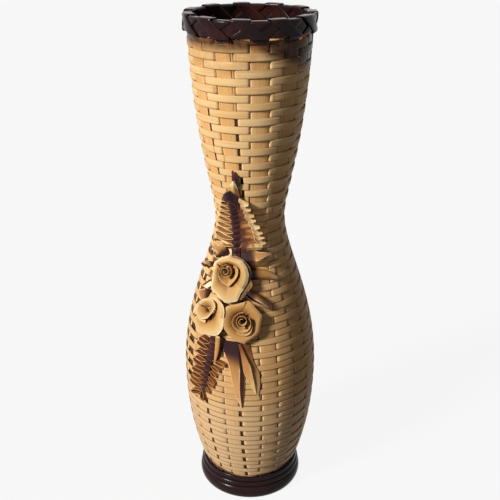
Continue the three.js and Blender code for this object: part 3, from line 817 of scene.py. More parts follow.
def disc_spun(profile):
    """A profile from the axis to the axis spun into a closed solid."""
    rings, strip, lay = spun(profile[1:-1])
    corners = rings.shape[1]
    sides = [f for f in loft_faces(ROUND_SIDES, corners, closed=True) if f[0] % corners != corners - 1]
    turns = np.arange(ROUND_SIDES) * corners
    ends = [turns.tolist(), (turns[::-1] + corners - 1).tolist()]
    return rings, sides + ends, strip, lay


print("sides of a turned piece:", ROUND_SIDES)

# %% Foot
FOOT_EDGE, FOOT_BULGE, FOOT_TOP = 61.0, 4.8, 17.0
SPIGOT, SPIGOT_TOP = 56.7, 30.0
RING_BORE, RING_ROOT, RING_LOW, RING_TOP = 59.7, 60.5, 17.3, 31.0
RING_BEADS = (63.8, 62.0)

foot_profile = np.concatenate([
    [(0, 0), (50, 0), (FOOT_EDGE - 1.2, 0)],
    half_bead(0.4, FOOT_TOP, FOOT_EDGE, FOOT_EDGE + FOOT_BULGE, 22),
    [(SPIGOT + 0.6, FOOT_TOP), (SPIGOT, FOOT_TOP + 0.6), (SPIGOT, SPIGOT_TOP - 0.8),
     (SPIGOT - 0.8, SPIGOT_TOP), (0, SPIGOT_TOP)],
])
Solids().add(*disc_spun(foot_profile)).piece("turned_foot", foot_finish, "dark_lacquer")

ring_middle = (RING_LOW + RING_TOP) / 2
ring_profile = np.concatenate([
    [(RING_BORE, RING_LOW)],
    half_bead(RING_LOW, ring_middle, RING_ROOT, RING_BEADS[0]),
    half_bead(ring_middle, RING_TOP, RING_ROOT, RING_BEADS[1])[1:],
    [(RING_BORE, RING_TOP)],
])
Solids().loft(*spun(ring_profile), closed=True).piece("foot_ring", foot_finish, "dark_lacquer")
print("foot profile points:", len(foot_profile))

# %% [markdown]
# ## Laced rim
# Two hoops clamp the stakes, and two flat strips lace round both hoops in opposite directions. On the
# outside they cross in a zigzag, and over the top they make a scalloped edge. A texture could draw the
# zigzag but not that edge, so the laces are real strips. A lace is one closed loft: each turn goes over
# the top, down the inside, under and up the outside, and steps on by one stake.

# %% Hoops
HOOP_LOW, HOOP_HIGH = 582.6, 597.2
INNER_HOOP, OUTER_HOOP = (63.45, 65.05), (67.97, 69.57)
HOOP_SOFT = 0.35


def hoop_profile(inner, outer):
    soft, middle = HOOP_SOFT, (HOOP_LOW + HOOP_HIGH) / 2
    return [(inner, HOOP_LOW + soft), (inner + soft, HOOP_LOW), (outer - soft, HOOP_LOW),
            (outer, HOOP_LOW + soft), (outer, middle), (outer, HOOP_HIGH - soft), (outer - soft, HOOP_HIGH),
            (inner + soft, HOOP_HIGH), (inner, HOOP_HIGH - soft), (inner, middle)]


for name, hoop in {"rim_hoop_inner": INNER_HOOP, "rim_hoop_outer": OUTER_HOOP}.items():
    Solids().loft(*spun(hoop_profile(*hoop)), closed=True).piece(name, rim_finish, "dark_lacquer")
print("hoop height in mm:", round(HOOP_HIGH - HOOP_LOW, 1))

# %% Laces
LACE_HALF = 9.4
LACE_THICK = 0.45
LACE_CORNER = 1.6
LACE_STEPS = 10
LACES = {"rim_wrap_under": (0.95, 1, 0.0), "rim_wrap_over": (2.25, -1, 0.5)}
LACE = np.array([
    (-1, -0.4), (-0.95, -1), (-0.4, -1), (0.4, -1), (0.95, -1), (1, -0.4), (1, 0.4), (0.95, 0.9), (0.5, 1.1),
    (0, 1.2), (-0.5, 1.1), (-0.95, 0.9), (-1, 0.4),
])


def lace_turn(off):
    """One turn of a lace round the hoops: radius, height, outward direction and share of a stake step."""
    outer, inner = OUTER_HOOP[1] + off, INNER_HOOP[0] - off
    low, high = HOOP_LOW - off, HOOP_HIGH + off
    stops = []
    corners = [(outer, high, 0, 0.5), (inner, high, 90, 0.5), (inner, low, 180, 1.0), (outer, low, 270, 1.0)]
    for radius, height, begin, share in corners:
        ahead = 1 if radius == outer else -1
        above = 1 if height == high else -1
        centre = np.array([radius - ahead * LACE_CORNER, height - above * LACE_CORNER])
        for turn in np.radians(begin + np.linspace(0, 90, 5)):
            way = np.array([np.cos(turn), np.sin(turn)])
            stops.append((*(centre + LACE_CORNER * way), *way, share))
    stops = np.array(stops)
    following = np.roll(stops, -1, axis=0)
    following[-1, 4] += 1.0
    rows = []
    for here, there in zip(stops, following):
        count = LACE_STEPS if abs(there[4] - here[4]) > 0.01 else 1
        rows += [here + (there - here) * k / count for k in range(count)]
    return np.array(rows)


for name, (off, direction, phase) in LACES.items():
    turn = lace_turn(off)
    laps = np.concatenate([turn + np.array([0, 0, 0, 0, lap]) for lap in range(STAKES)])
    lap_radius, lap_height, out, up, step = (column[:, None] for column in laps.T)
    middle = stake_angle(0.5 + phase, WALL_LENGTH) + direction * step * STAKE_STEP
    radius = lap_radius + out * LACE[:, 1] * LACE_THICK
    height = lap_height + up * LACE[:, 1] * LACE_THICK
    angle = middle + LACE[:, 0] * LACE_HALF / lap_radius
    rings = np.stack([radius * np.sin(angle), -radius * np.cos(angle), height], -1)
    walked = np.cumsum(np.linalg.norm(np.diff(rings[:, 0], axis=0, prepend=rings[:1, 0]), axis=1))
    flat = 0 * angle
    strip = np.stack([walked[:, None] + flat, LACE[:, 0] * LACE_HALF + flat, flat + off], -1)
    lay = np.stack([flat, LACE[:, 0] + flat, flat + 0.5], -1)
    Solids().loft(rings, strip, lay, closed=True).piece(name, rim_finish, "dark_lacquer")
print("laces:", len(LACES))

# %% [markdown]
# ## Folded ribbon
# The spray is made of bamboo shaved into ribbon, rolled and folded, then scorched and varnished. Petals
# stay pale and turn brown towards their feet, partly scorch and partly painted shade, with a painted
# highlight on the lip. Leaves run from a burnt root to a tan blade, the root partly painted shade where it
# lies under the roses, and ferns are darkest along the rib, with painted shade where a leaflet tucks under
# the next. A colour ramp follows the ribbon from its root to its tip. A sheet's tone moves it along that
# ramp: below zero it turns near black, scorch on some sheets and painted shade on others, and far above
# one it turns pale, a painted highlight.

# %% Ribbon
SCORCH_AND_SHADE = shade(0.075, 0.024, 0.015)
CHAR_AND_SHADE = shade(0.018, 0.007, 0.011)
PAINTED_HIGHLIGHT = shade(0.90, 0.74, 0.50)
LONG_FIBRES, CROSS_FIBRES = (0.05, 1.1, 4.1), (1.1, 0.05, 4.1)
RIBBON_CLOUD = (0.09, 0.09, 2.3)
DIM_SHARE, CLOUD_SHARE, HIGHLIGHT_SHARE, CUT_AND_HIGHLIGHT_SHARE, CHAR_AND_SHADE_SHARE = 0.55, 0.3, 0.85, 0.7, 0.92


def ribbon(name, stops, vein, grain=0.45, fibre_scale=LONG_FIBRES, gloss=0.0, tone_reach=0.25, cut_and_highlight=None,
           cut_and_highlight_from=0.1, char_and_shade=0.0, tucked_shade=0.0):
    """stops are shares from root to tip, each with its red, green and blue."""
    f = Finish.new(name)
    strip, vein = f.attribute("strip"), shade(*vein)
    share, edge, tone = f.parts(f.attribute("lay"))
    fibres = f.noise(f.stretched(strip, fibre_scale), 1.0, 4.0, 0.6)
    cloud = f.noise(f.stretched(strip, RIBBON_CLOUD), 1.0, 2.0, 0.5)
    way = share + (cloud - 0.5) * 0.3 + (tone - 0.5) * tone_reach
    ramp = [(position, shade(*colour)) for position, *colour in stops]
    colour = f.node("ShaderNodeValToRGB", {"stops": ramp}, {0: way})
    colour = f.mix(tone.between(0.6, 0.0) * DIM_SHARE, colour, vein)
    colour = f.mix(fibres.between(0.45, 0.75) * grain, colour, vein)
    colour = f.mix(cloud.between(0.52, 0.75) * CLOUD_SHARE, colour, vein)
    # Below a tone of 0.1 a sheet is painted near black, scorch on some sheets and painted shade on others; its
    # lip is kept lighter as a painted highlight.
    colour = f.mix(tone.between(0.1, -0.5) * (0.9 - share.between(0.88, 1.0) * 0.45), colour, SCORCH_AND_SHADE)
    # Far above a tone of one a sheet turns pale: a painted highlight.
    colour = f.mix(tone.between(1.2, 1.7) * HIGHLIGHT_SHARE, colour, PAINTED_HIGHLIGHT)
    # Painted shade along a fern leaflet's edge that is tucked under the leaflet above.
    if tucked_shade:
        colour = f.mix(edge.between(-0.2, 0.5) * share.between(0.66, 0.5) * tucked_shade, colour, SCORCH_AND_SHADE)
    # Pale edges: partly the ribbon's cut, partly a painted highlight along the edge.
    if cut_and_highlight:
        rim = edge.size().between(0.86, 0.98) * share.between(cut_and_highlight_from - 0.15, cut_and_highlight_from)
        colour = f.mix(rim * CUT_AND_HIGHLIGHT_SHARE, colour, shade(*cut_and_highlight))
    # The root is painted near black: partly scorch, partly painted shade where roots lie under the roses.
    if char_and_shade:
        burnt_and_shaded = share.between(char_and_shade, char_and_shade * 0.35) * tone.between(0.92, 0.8)
        colour = f.mix(burnt_and_shaded * CHAR_AND_SHADE_SHARE, colour, CHAR_AND_SHADE)
    rough = 0.42 + (fibres - 0.5) * 0.3
    f.set(Base_Color=colour, Roughness=rough, Normal=f.bump(fibres, 0.3, 0.3))
    f.set(Coat_Weight=gloss, Coat_Roughness=0.2, Specular_IOR_Level=0.1)
    return f


print("ribbon ready")

# %% Ribbon finishes
# Petal ramp from near black at a petal's foot, deep in the flower, to pale at the lip: partly scorch, partly
# painted shade at the foot, and a painted highlight on the lip.
petal_finish = ribbon(
    "petal_ribbon", [
        (0.0, 0.09, 0.03, 0.011), (0.22, 0.36, 0.17, 0.05), (0.5, 0.52, 0.30, 0.11),
        (0.85, 0.67, 0.455, 0.205), (1.0, 0.90, 0.75, 0.49)],
    vein=(0.46, 0.24, 0.075), fibre_scale=CROSS_FIBRES)
# The leaf ramp's charred root also stands as painted shade where the roots lie under the roses.
leaf_finish = ribbon(
    "leaf_ribbon", [
        (0.0, 0.04, 0.012, 0.010), (0.25, 0.15, 0.05, 0.02), (0.5, 0.40, 0.19, 0.06),
        (0.8, 0.54, 0.29, 0.10), (1.0, 0.68, 0.43, 0.185)],
    vein=(0.22, 0.07, 0.02), gloss=0.08, tone_reach=0.4, cut_and_highlight=(0.90, 0.66, 0.38), cut_and_highlight_from=0.45, char_and_shade=0.46)
fern_finish = ribbon(
    "fern_ribbon", [
        (0.0, 0.022, 0.007, 0.008), (0.13, 0.075, 0.022, 0.014), (0.24, 0.44, 0.20, 0.06),
        (0.40, 0.66, 0.38, 0.145), (0.55, 0.52, 0.27, 0.09), (0.64, 0.80, 0.54, 0.24), (1.0, 0.86, 0.64, 0.34)],
    vein=(0.24, 0.085, 0.025), gloss=0.04, tone_reach=0.5, cut_and_highlight=(0.88, 0.65, 0.36), cut_and_highlight_from=0.62, tucked_shade=0.75)
scorched_finish = ribbon(
    "scorched_ribbon", [(0.0, 0.012, 0.004, 0.006), (0.6, 0.045, 0.014, 0.014), (1.0, 0.12, 0.04, 0.024)],
    vein=(0.010, 0.004, 0.006), grain=0.5, gloss=0.06, cut_and_highlight=(0.15, 0.065, 0.05))
loop_finish = ribbon(
    "loop_ribbon", [
        (0.0, 0.05, 0.014, 0.009), (0.3, 0.20, 0.066, 0.022), (0.5, 0.36, 0.15, 0.045),
        (0.7, 0.20, 0.066, 0.022), (1.0, 0.05, 0.014, 0.009)],
    vein=(0.11, 0.03, 0.012), grain=0.4, gloss=0.1, cut_and_highlight=(0.52, 0.27, 0.10))
tan_loop_finish = ribbon(
    "tan_loop_ribbon", [
        (0.0, 0.16, 0.055, 0.02), (0.3, 0.50, 0.27, 0.09), (0.5, 0.68, 0.43, 0.18),
        (0.7, 0.50, 0.27, 0.09), (1.0, 0.16, 0.055, 0.02)],
    vein=(0.26, 0.10, 0.03), grain=0.4, gloss=0.1, cut_and_highlight=(0.80, 0.56, 0.28))
print("ribbon finishes ready")

# %% [markdown]
# ## Lines for ribbon
# The edges of petals and leaves are drawn through a few points. A smooth curve suits a curl. Mixed with
# straight pieces it keeps some of its corners, as ribbon does where it is creased.

# %% Lines
CREASE = 0.4


def smooth(share):
    share = np.clip(share, 0, 1)
    return share * share * (3 - 2 * share)


def through(points, count):
    """A smooth line through a few points, sampled evenly along its pieces."""
    points = np.array(points, float)
    ends = np.concatenate([[2 * points[0] - points[1]], points, [2 * points[-1] - points[-2]]])
    at = np.linspace(0, len(points) - 1, count)
    i = np.minimum(at.astype(int), len(points) - 2)
    t = (at - i)[:, None]
    a, b, c, d = ends[i], ends[i + 1], ends[i + 2], ends[i + 3]
    square, cube = 2 * a - 5 * b + 4 * c - d, 3 * b - a - 3 * c + d
    return 0.5 * (2 * b + (c - a) * t + square * t**2 + cube * t**3)


def creased(points, steps):
    """A line through points that keeps some of their corners."""
    points = np.array(points, float)
    count = (len(points) - 1) * steps + 1
    at = np.linspace(0, len(points) - 1, count)
    straight = np.stack([np.interp(at, np.arange(len(points)), row) for row in points.T], 1)
    return CREASE * straight + (1 - CREASE) * through(points, count)


print("share of straight pieces in a creased line:", CREASE)

# %% [markdown]
# ## Roses
# A rose is a rolled heart with petals wrapped round it. A cloth simulation could fold a ribbon but is
# hard to steer, so each petal is a band between its foot, deep in the flower, and its lip. Where the
# ribbon turns a corner it is creased, so the outline is more a polygon than a circle. The cups round
# the heart grow from a ring, and the outer petals from a line of their own. The heart is a spiral whose
# top can fall as it unrolls.

# %% Petals and hearts
FOOT_TUCK = 0.78
CUP_CLIMB, PETAL_CLIMB = (1.5, 0.8), (1.0, 0.5)
PETAL_STEPS, PETAL_COLUMNS = 9, 18
LIP_FROM = 0.82
HEART_FOOT, HEART_STEPS, HEART_COLUMNS = 1.0, 32, 10


def rose_frame(name, azimuth, height):
    """The rose's origin on the weave with its right, up and outward directions, from its heart's solid."""
    point, normal, up = wall(math.radians(azimuth), along_at(height))
    solid = np.array([v.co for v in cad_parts[f"{name}_heart"].data.vertices]) / MM
    seat = ((solid - point) @ normal).min()
    print(name, "stands off the wall in mm:", round(float(seat), 2))
    return point + normal * seat, np.stack([np.cross(up, normal), up, normal])


def petal_grid(lip, middle, foot=None, ring=None, bulge=0.0, roll=0.8):
    """A petal from its foot, a line or a ring of centre, radius and height, to its lip."""
    lip = np.array(lip, float)
    if ring:
        right, up, radius, height = ring
        away = unit(lip[:, :2] - (right, up)) * radius + (right, up)
        foot = np.column_stack([away, np.full(len(lip), height)])
    else:
        foot = np.array(foot, float)
        foot[:, :2] = middle + (foot[:, :2] - middle) * FOOT_TUCK
    flare, rise = CUP_CLIMB if ring else PETAL_CLIMB
    inner, outer = creased(foot, PETAL_STEPS), creased(lip, PETAL_STEPS)
    level = np.linspace(0, 1, PETAL_COLUMNS)[None, :, None]
    climb = np.concatenate([level**flare, level**flare, level**rise], 2)
    grid = inner[:, None] + (outer - inner)[:, None] * climb
    rolled = roll * smooth((level - LIP_FROM) / (1 - LIP_FROM))
    grid[..., 2] += (bulge * np.sin(np.pi * level) - rolled)[..., 0]
    return grid


def heart_grid(radius, pitch, turns, top, fall, start, centre, flare=0.9):
    turn = np.linspace(0, turns, int(turns * HEART_STEPS))[:, None]
    level = np.linspace(0, 1, HEART_COLUMNS)[None, :]
    angle = np.radians(start) + 2 * np.pi * turn
    height = HEART_FOOT + (top - fall * turn - HEART_FOOT) * level
    width = radius + pitch * turn + flare * level**3
    return np.stack([centre[0] + width * np.cos(angle), centre[1] + width * np.sin(angle), height], -1)


print("points across a petal:", PETAL_COLUMNS)

# %% [markdown]
# ## Three roses
# Each table gives a rose's place as an azimuth and a height, its tones, its heart, and the lip of each
# petal in the rose's own frame: right, up and out, in mm. The upper rose opens widest, the left one's
# heart lies deep in its cup, and the right one is the darkest.

# %% Upper rose
UPPER_ROSE = dict(
    # The low tones of the heart and the first cup darken the flower's middle: partly the ribbon's colour,
    # partly painted shade. The back petal's tone below zero is partly scorch, partly painted shade.
    at=(-19.1, 314.4), tone=0.6, tones={"heart": 0.12, "inner_petal_1": 0.04, "outer_petal_2": -0.35},
    heart=dict(radius=1.0, pitch=3.1, turns=1.8, top=20.0, fall=0.9, start=150, centre=(-5.3, 3.5)),
    petals={
        "inner_petal_1": dict(ring=(-5.3, 3.5, 6.8, 5), lip=[
            (3.8, 11.5, 17.5), (8.4, 8.1, 17.0), (8.4, 0.8, 16.5), (4.4, -6.4, 15.0), (-1.9, -13.4, 13.0),
            (-7.0, -11.8, 14.0), (-10.9, -9.4, 15.0), (-14.1, -3.3, 16.0), (-13.9, 3.3, 17.0),
            (-10.2, 9.1, 17.5), (-5.4, 11.8, 17.5)]),
        "inner_petal_2": dict(bulge=2.6, roll=1.6, foot=[
            (-14.3, 10.9, 7), (-7.7, 13.6, 7), (-0.8, 12.8, 7), (4.7, 10.3, 7), (7.6, 6.9, 7),
            (9.1, 0.6, 7), (9.2, -5.8, 7), (7.7, -11.7, 7)], lip=[
            (-15.8, 15.4, 8.0), (-5.7, 18.8, 9.5), (3.2, 18.4, 10.5), (10.6, 16.8, 11.5),
            (16.9, 10.3, 12.0), (19.9, 2.0, 12.0), (18.8, -7.1, 11.5), (15.3, -14.2, 10.5)]),
        "outer_petal_1": dict(bulge=1.4, roll=1.4, foot=[
            (-16.2, 5.0, 6), (-17.9, -1.0, 6), (-16.5, -7.3, 6), (-13.4, -13.4, 6), (-8.4, -16.1, 6),
            (-4.1, -16.7, 6), (-0.1, -14.0, 6), (3.3, -9.3, 6), (5.7, -4.7, 6.5), (6.9, -0.5, 6.5),
            (7.7, 2.8, 6.5)], lip=[
            (-21.2, 10.2, 10.0), (-22.5, 3.8, 11.0), (-22.9, -5.2, 11.0), (-23.7, -19.5, 10.0),
            (-15.0, -26.7, 9.5), (-5.5, -33.5, 9.0), (1.2, -32.1, 9.0), (8.4, -29.2, 9.0),
            (11.7, -20.8, 10.2), (15.5, -13.3, 10.4), (16.5, -6.5, 9.5)]),
        "outer_petal_2": dict(bulge=0.8, foot=[
            (-3.2, 13.8, 3), (1.2, 12.8, 3), (5.7, 10.2, 3), (10.4, 6.0, 3), (12.2, 0.6, 3),
            (12.1, -6.7, 3), (10.7, -13.4, 3), (8.9, -20.2, 3), (6.9, -25.4, 3)], lip=[
            (-4.1, 20.4, 6.0), (2.5, 20.8, 7.0), (10.9, 17.6, 7.0), (18.3, 11.2, 7.0), (21.2, 4.8, 7.0),
            (21.5, -3.2, 7.0), (24.3, -9.3, 7.5), (18.8, -19.0, 6.5), (11.8, -28.3, 6.0)]),
        "outer_petal_3": dict(bulge=0.8, foot=[
            (-18.5, 4.3, 3), (-17.5, 6.9, 3), (-15.6, 9.6, 3), (-12.3, 11.3, 3), (-8.2, 12.7, 3),
            (-5.7, 13.4, 3)], lip=[
            (-25.7, 5.9, 5.0), (-23.3, 11.3, 6.0), (-18.3, 14.9, 6.5), (-13.4, 17.6, 6.5),
            (-8.7, 20.0, 6.0), (-6.2, 20.9, 5.0)]),
    })
print("upper rose petals:", len(UPPER_ROSE["petals"]))

# %% Left rose
LEFT_ROSE = dict(
    # The lower tones of the heart and the cups darken the inside of the cup, turned from the light: partly the
    # ribbon's colour, partly painted shade.
    at=(-41, 266), tone=0.6, tones={"heart": 0.2, "inner_petal_1": 0.3, "inner_petal_2": 0.35},
    heart=dict(radius=0.8, pitch=0.9, turns=1.2, top=4.5, fall=0.0, start=300, centre=(1.0, 4.0), flare=0.3),
    petals={
        "inner_petal_1": dict(ring=(0.7, 3.5, 3.4, 3), lip=[
            (-4.5, -9.4, 13.0), (5.5, -4.7, 14.0), (12.4, 4.2, 15.0), (16.7, 11.4, 16.0),
            (15.6, 17.0, 16.5), (10.5, 19.4, 16.0), (3.4, 18.3, 15.5), (-2.9, 14.7, 15.0),
            (-8.3, 9.4, 14.0)]),
        "inner_petal_2": dict(ring=(-0.7, 2.2, 4.2, 3), lip=[
            (-13.0, 6.1, 12.0), (-14.6, -0.3, 12.0), (-12.4, -6.2, 11.8), (-6.4, -11.2, 11.4),
            (1.5, -11.8, 10.6)]),
        "outer_petal_1": dict(bulge=1.4, roll=1.4, foot=[
            (-13.5, -10.7, 5), (-11.9, -12.8, 5), (-8.2, -13.7, 5), (-2.7, -13.1, 5), (2.7, -11.7, 5),
            (7.3, -9.7, 5), (11.3, -5.3, 5), (12.9, -0.1, 5), (13.5, 4.4, 5)], lip=[
            (-18.0, -10.3, 7.0), (-17.2, -16.9, 7.5), (-12.8, -24.1, 8.0), (-1.4, -26.4, 8.0),
            (10.6, -24.6, 8.0), (19.9, -21.4, 8.0), (26.2, -11.9, 9.0), (26.6, -3.0, 9.5),
            (25.0, 3.5, 9.5)]),
        "outer_petal_2": dict(bulge=2.2, roll=1.4, foot=[
            (-6.0, 11.7, 5), (0.1, 14.5, 5), (7.5, 13.9, 5), (12.1, 10.8, 5), (14.4, 5.5, 5),
            (13.9, 0.3, 5)], lip=[
            (-7.9, 14.0, 9.0), (3.4, 20.2, 10.0), (15.5, 20.1, 10.5), (23.2, 16.0, 11.0),
            (26.5, 10.3, 11.0), (26.9, 2.8, 10.5)]),
        "outer_petal_3": dict(bulge=0.8, foot=[
            (-9.5, 8.6, 3), (-13.3, 5.6, 3), (-15.8, 1.3, 3), (-17.0, -3.4, 3), (-16.7, -7.7, 3)], lip=[
            (-10.3, 13.3, 5.0), (-15.8, 8.7, 6.0), (-20.6, 1.9, 6.0), (-22.0, -4.7, 6.0),
            (-20.2, -10.2, 6.0)]),
    })
print("left rose petals:", len(LEFT_ROSE["petals"]))

# %% Right rose
RIGHT_ROSE = dict(
    at=(-4.5, 266), tone=0.06, tones={},
    heart=dict(radius=2.0, pitch=2.9, turns=1.6, top=18.4, fall=0.6, start=80, centre=(-2.3, 0.2)),
    petals={
        "inner_petal_1": dict(ring=(-2.9, -0.9, 7.2, 4), lip=[
            (-1.2, 10.5, 15.0), (-6.3, 9.3, 15.0), (-12.2, 4.6, 15.0), (-14.3, -1.6, 15.0),
            (-12.2, -7.3, 15.0), (-7.6, -11.9, 14.5), (-2.0, -13.4, 14.0), (3.2, -12.2, 14.0),
            (6.7, -8.0, 14.0), (7.4, -1.3, 14.5), (5.3, 4.0, 15.0)]),
        "inner_petal_2": dict(ring=(-2.2, -2.6, 9.4, 3), lip=[
            (7.7, 2.1, 11.5), (9.2, -3.5, 12.0), (8.8, -9.5, 12.5), (6.7, -14.8, 12.5), (1.9, -17.7, 12.0),
            (-3.7, -17.3, 12.0), (-9.3, -15.0, 12.0)]),
        "outer_petal_1": dict(bulge=1.2, roll=1.2, foot=[
            (-4.0, 10.7, 5), (-8.0, 9.7, 5), (-12.8, 6.7, 5), (-16.6, 1.2, 5), (-17.0, -4.6, 5),
            (-15.3, -10.3, 5)], lip=[
            (0.5, 21.2, 9.0), (-10.1, 18.1, 10.0), (-20.9, 15.0, 10.0), (-25.1, 7.2, 9.5),
            (-26.1, -1.4, 9.5), (-25.3, -8.6, 9.5)]),
        "outer_petal_2": dict(bulge=1.2, roll=1.2, foot=[
            (-15.3, -10.3, 5), (-12.4, -14.3, 5), (-8.7, -17.1, 5), (-4.3, -18.6, 5), (0.6, -18.4, 5),
            (4.6, -16.6, 5), (7.7, -13.1, 5)], lip=[
            (-25.4, -8.5, 9.0), (-19.3, -17.2, 8.5), (-12.4, -23.1, 8.0), (-5.5, -27.0, 8.0),
            (0.6, -27.3, 8.0), (6.9, -22.9, 8.0), (14.1, -17.4, 8.0)]),
        "outer_petal_3": dict(bulge=1.2, roll=1.0, foot=[
            (-3.2, 9.9, 5), (1.2, 8.9, 5), (5.7, 5.3, 5), (8.6, 0.5, 5), (9.6, -5.2, 5), (8.9, -11.0, 5),
            (7.0, -15.2, 5)], lip=[
            (0.0, 20.4, 8.0), (7.7, 18.2, 8.0), (13.4, 12.5, 8.0), (19.1, 5.6, 7.5), (18.3, -2.6, 7.5),
            (16.7, -12.1, 7.5), (14.0, -18.0, 7.5)]),
    })
print("right rose petals:", len(RIGHT_ROSE["petals"]))

# %% Roses
PETAL_THICK, PETAL_TONES, PETAL_SEEDS = 0.6, (-0.08, 0.08), (0, 40)
ROSES = {"rose_upper": UPPER_ROSE, "rose_left": LEFT_ROSE, "rose_right": RIGHT_ROSE}

chance = np.random.default_rng(3)
for name, plan in ROSES.items():
    origin, basis = rose_frame(name, *plan["at"])
    sheets = {"heart": heart_grid(**plan["heart"])}
    for label, sizes in plan["petals"].items():
        sheets[label] = petal_grid(middle=plan["heart"]["centre"], **sizes)
    for label, grid in sheets.items():
        grid = (grid @ basis + origin).transpose(1, 0, 2)
        tone = plan["tones"].get(label, plan["tone"]) + chance.uniform(*PETAL_TONES)
        solids = Solids().sheet(grid, PETAL_THICK, chance.uniform(*PETAL_SEEDS), tone)
        solids.piece(f"{name}_{label}", petal_finish, "petal_bamboo")
print("roses:", len(ROSES))

# %% [markdown]
# ## Pods
# Two of the right leaves are ribbon curled into pods. A curl in degrees bends the sheet's sides towards
# each other, a roll turns it about its own line, and a blade gives its width at root and tip and where it
# is widest. The same leaf with little curl later makes the ferns' ribs.

# %% Pods
LEAF_THICK = 0.8
POD_TONE = 0.78
BLADE_FADE = 1.8
LEAST_BEND = 1e-3


def leaf_grid(points, width, curl, blade, roll=(0, 0), ridge=0.0, rows=34, columns=17):
    """A curled leaf along places of azimuth, height and lift. curl is in degrees at root, middle and tip."""
    track, share = through(points, rows), np.linspace(0, 1, rows)
    middle = place(*track.T)
    _, normal, _ = wall(np.radians(track[:, 0]), along_at(track[:, 1]))
    run = unit(np.gradient(middle, axis=0))
    across = unit(np.cross(run, normal))
    normal = np.cross(across, run)
    turn = np.radians(np.interp(share, (0, 1), roll))[:, None]
    across, normal = (across * np.cos(turn) + normal * np.sin(turn),
                      normal * np.cos(turn) - across * np.sin(turn))
    root, widest, tip = blade
    grow = root + (1 - root) * smooth(share / widest)
    fade = tip + (1 - tip) * (1 - np.clip((share - widest) / (1 - widest), 0, 1) ** BLADE_FADE)
    half = width / 2 * np.minimum(grow, fade)
    bend = np.radians(np.interp(share, (0, 0.5, 1), curl)) + LEAST_BEND
    over = np.linspace(-1, 1, columns)
    arc, radius = bend[:, None] * over, (half / bend)[:, None]
    crease = ridge * half[:, None] * (1 - np.abs(over))
    up = radius * (1 - np.cos(arc)) + crease
    sideways = across[:, None] * (radius * np.sin(arc))[..., None]
    return middle[:, None] + sideways + normal[:, None] * up[..., None]


PODS = {
    "leaf_right_2": dict(
        points=[(-2, 309, 0.5), (17, 309.5, 2), (33, 306.6, 4)], width=42,
        curl=(176, 176, 168), roll=(110, 110), blade=(1.0, 0.05, 0.2)),
    "leaf_right_3": dict(
        points=[(-2, 296.5, 0.5), (8.5, 287, 2), (18, 277.4, 4)], width=34,
        curl=(165, 165, 160), roll=(-20, -5), blade=(0.8, 0.35, 0.16)),
}
for number, (name, sizes) in enumerate(PODS.items()):
    solids = Solids().sheet(leaf_grid(**sizes), LEAF_THICK, number * 5.1, POD_TONE)
    solids.piece(name, leaf_finish, "leaf_bamboo")
print("pods:", len(PODS))

# %% [markdown]
# ## Folded leaves
# The other leaves are folded like paper. Bending a flat leaf would round the folds, so each face is a
# sheet between a few lines, and every inner line is a crease. A line is a row of places on the weave:
# azimuth, height and lift. Each face starts with its tone. A tone below zero paints a face near black, as
# shade inside a slit, a mouth or a fold and on a face turned from the light, and a tone far above one
# paints a highlight. The first hanging leaf is a funnel, one sheet over four lines.

# %% Right and hanging faces
FOLD_ROWS, FOLD_COLUMNS = 30, 6


def folded(lines):
    """A sheet between lines of azimuth, height and lift. The inner lines are creases."""
    places = np.stack([place(*through(points, FOLD_ROWS).T) for points in lines], 1)
    at = np.linspace(0, len(lines) - 1, FOLD_COLUMNS * (len(lines) - 1) + 1)
    i = np.minimum(at.astype(int), len(lines) - 2)
    t = (at - i)[None, :, None]
    return places[:, i] * (1 - t) + places[:, i + 1] * t


# leaf_right_1's lower face has a lower tone than its upper one, painted shade for the side turned from the
# light, and its third face, at a tone of -0.7, is painted near black as the shade in its slit.
RIGHT_FACES = {
    "leaf_right_1": [
        (0.78, [
            [(-14, 340, 1), (2.5, 342, 3.5), (11.5, 340, 6), (19.5, 338.9, 7), (28.2, 336.2, 6)],
            [(-13, 329, 2), (3.3, 331, 5), (9.1, 330.9, 8), (15.3, 332.8, 8.5), (24.7, 336, 7)]]),
        (0.62, [
            [(-13, 328.9, 1.9), (3.3, 330.9, 4.9), (9.2, 330.7, 7.9), (16.2, 331.4, 7), (25.8, 334.9, 6)],
            [(-12, 321, 1), (4.5, 323.5, 1), (11.9, 324.6, 2), (19.7, 325.3, 3), (29, 331.2, 4)]]),
        (-0.7, [
            [(3.3, 333, 2.5), (9.1, 333, 5.5), (15.3, 335, 6), (25, 336.5, 5)],
            [(3.3, 329, 2), (9.2, 328.5, 4), (16.2, 329, 4.5), (26, 333.5, 4)]])],
}
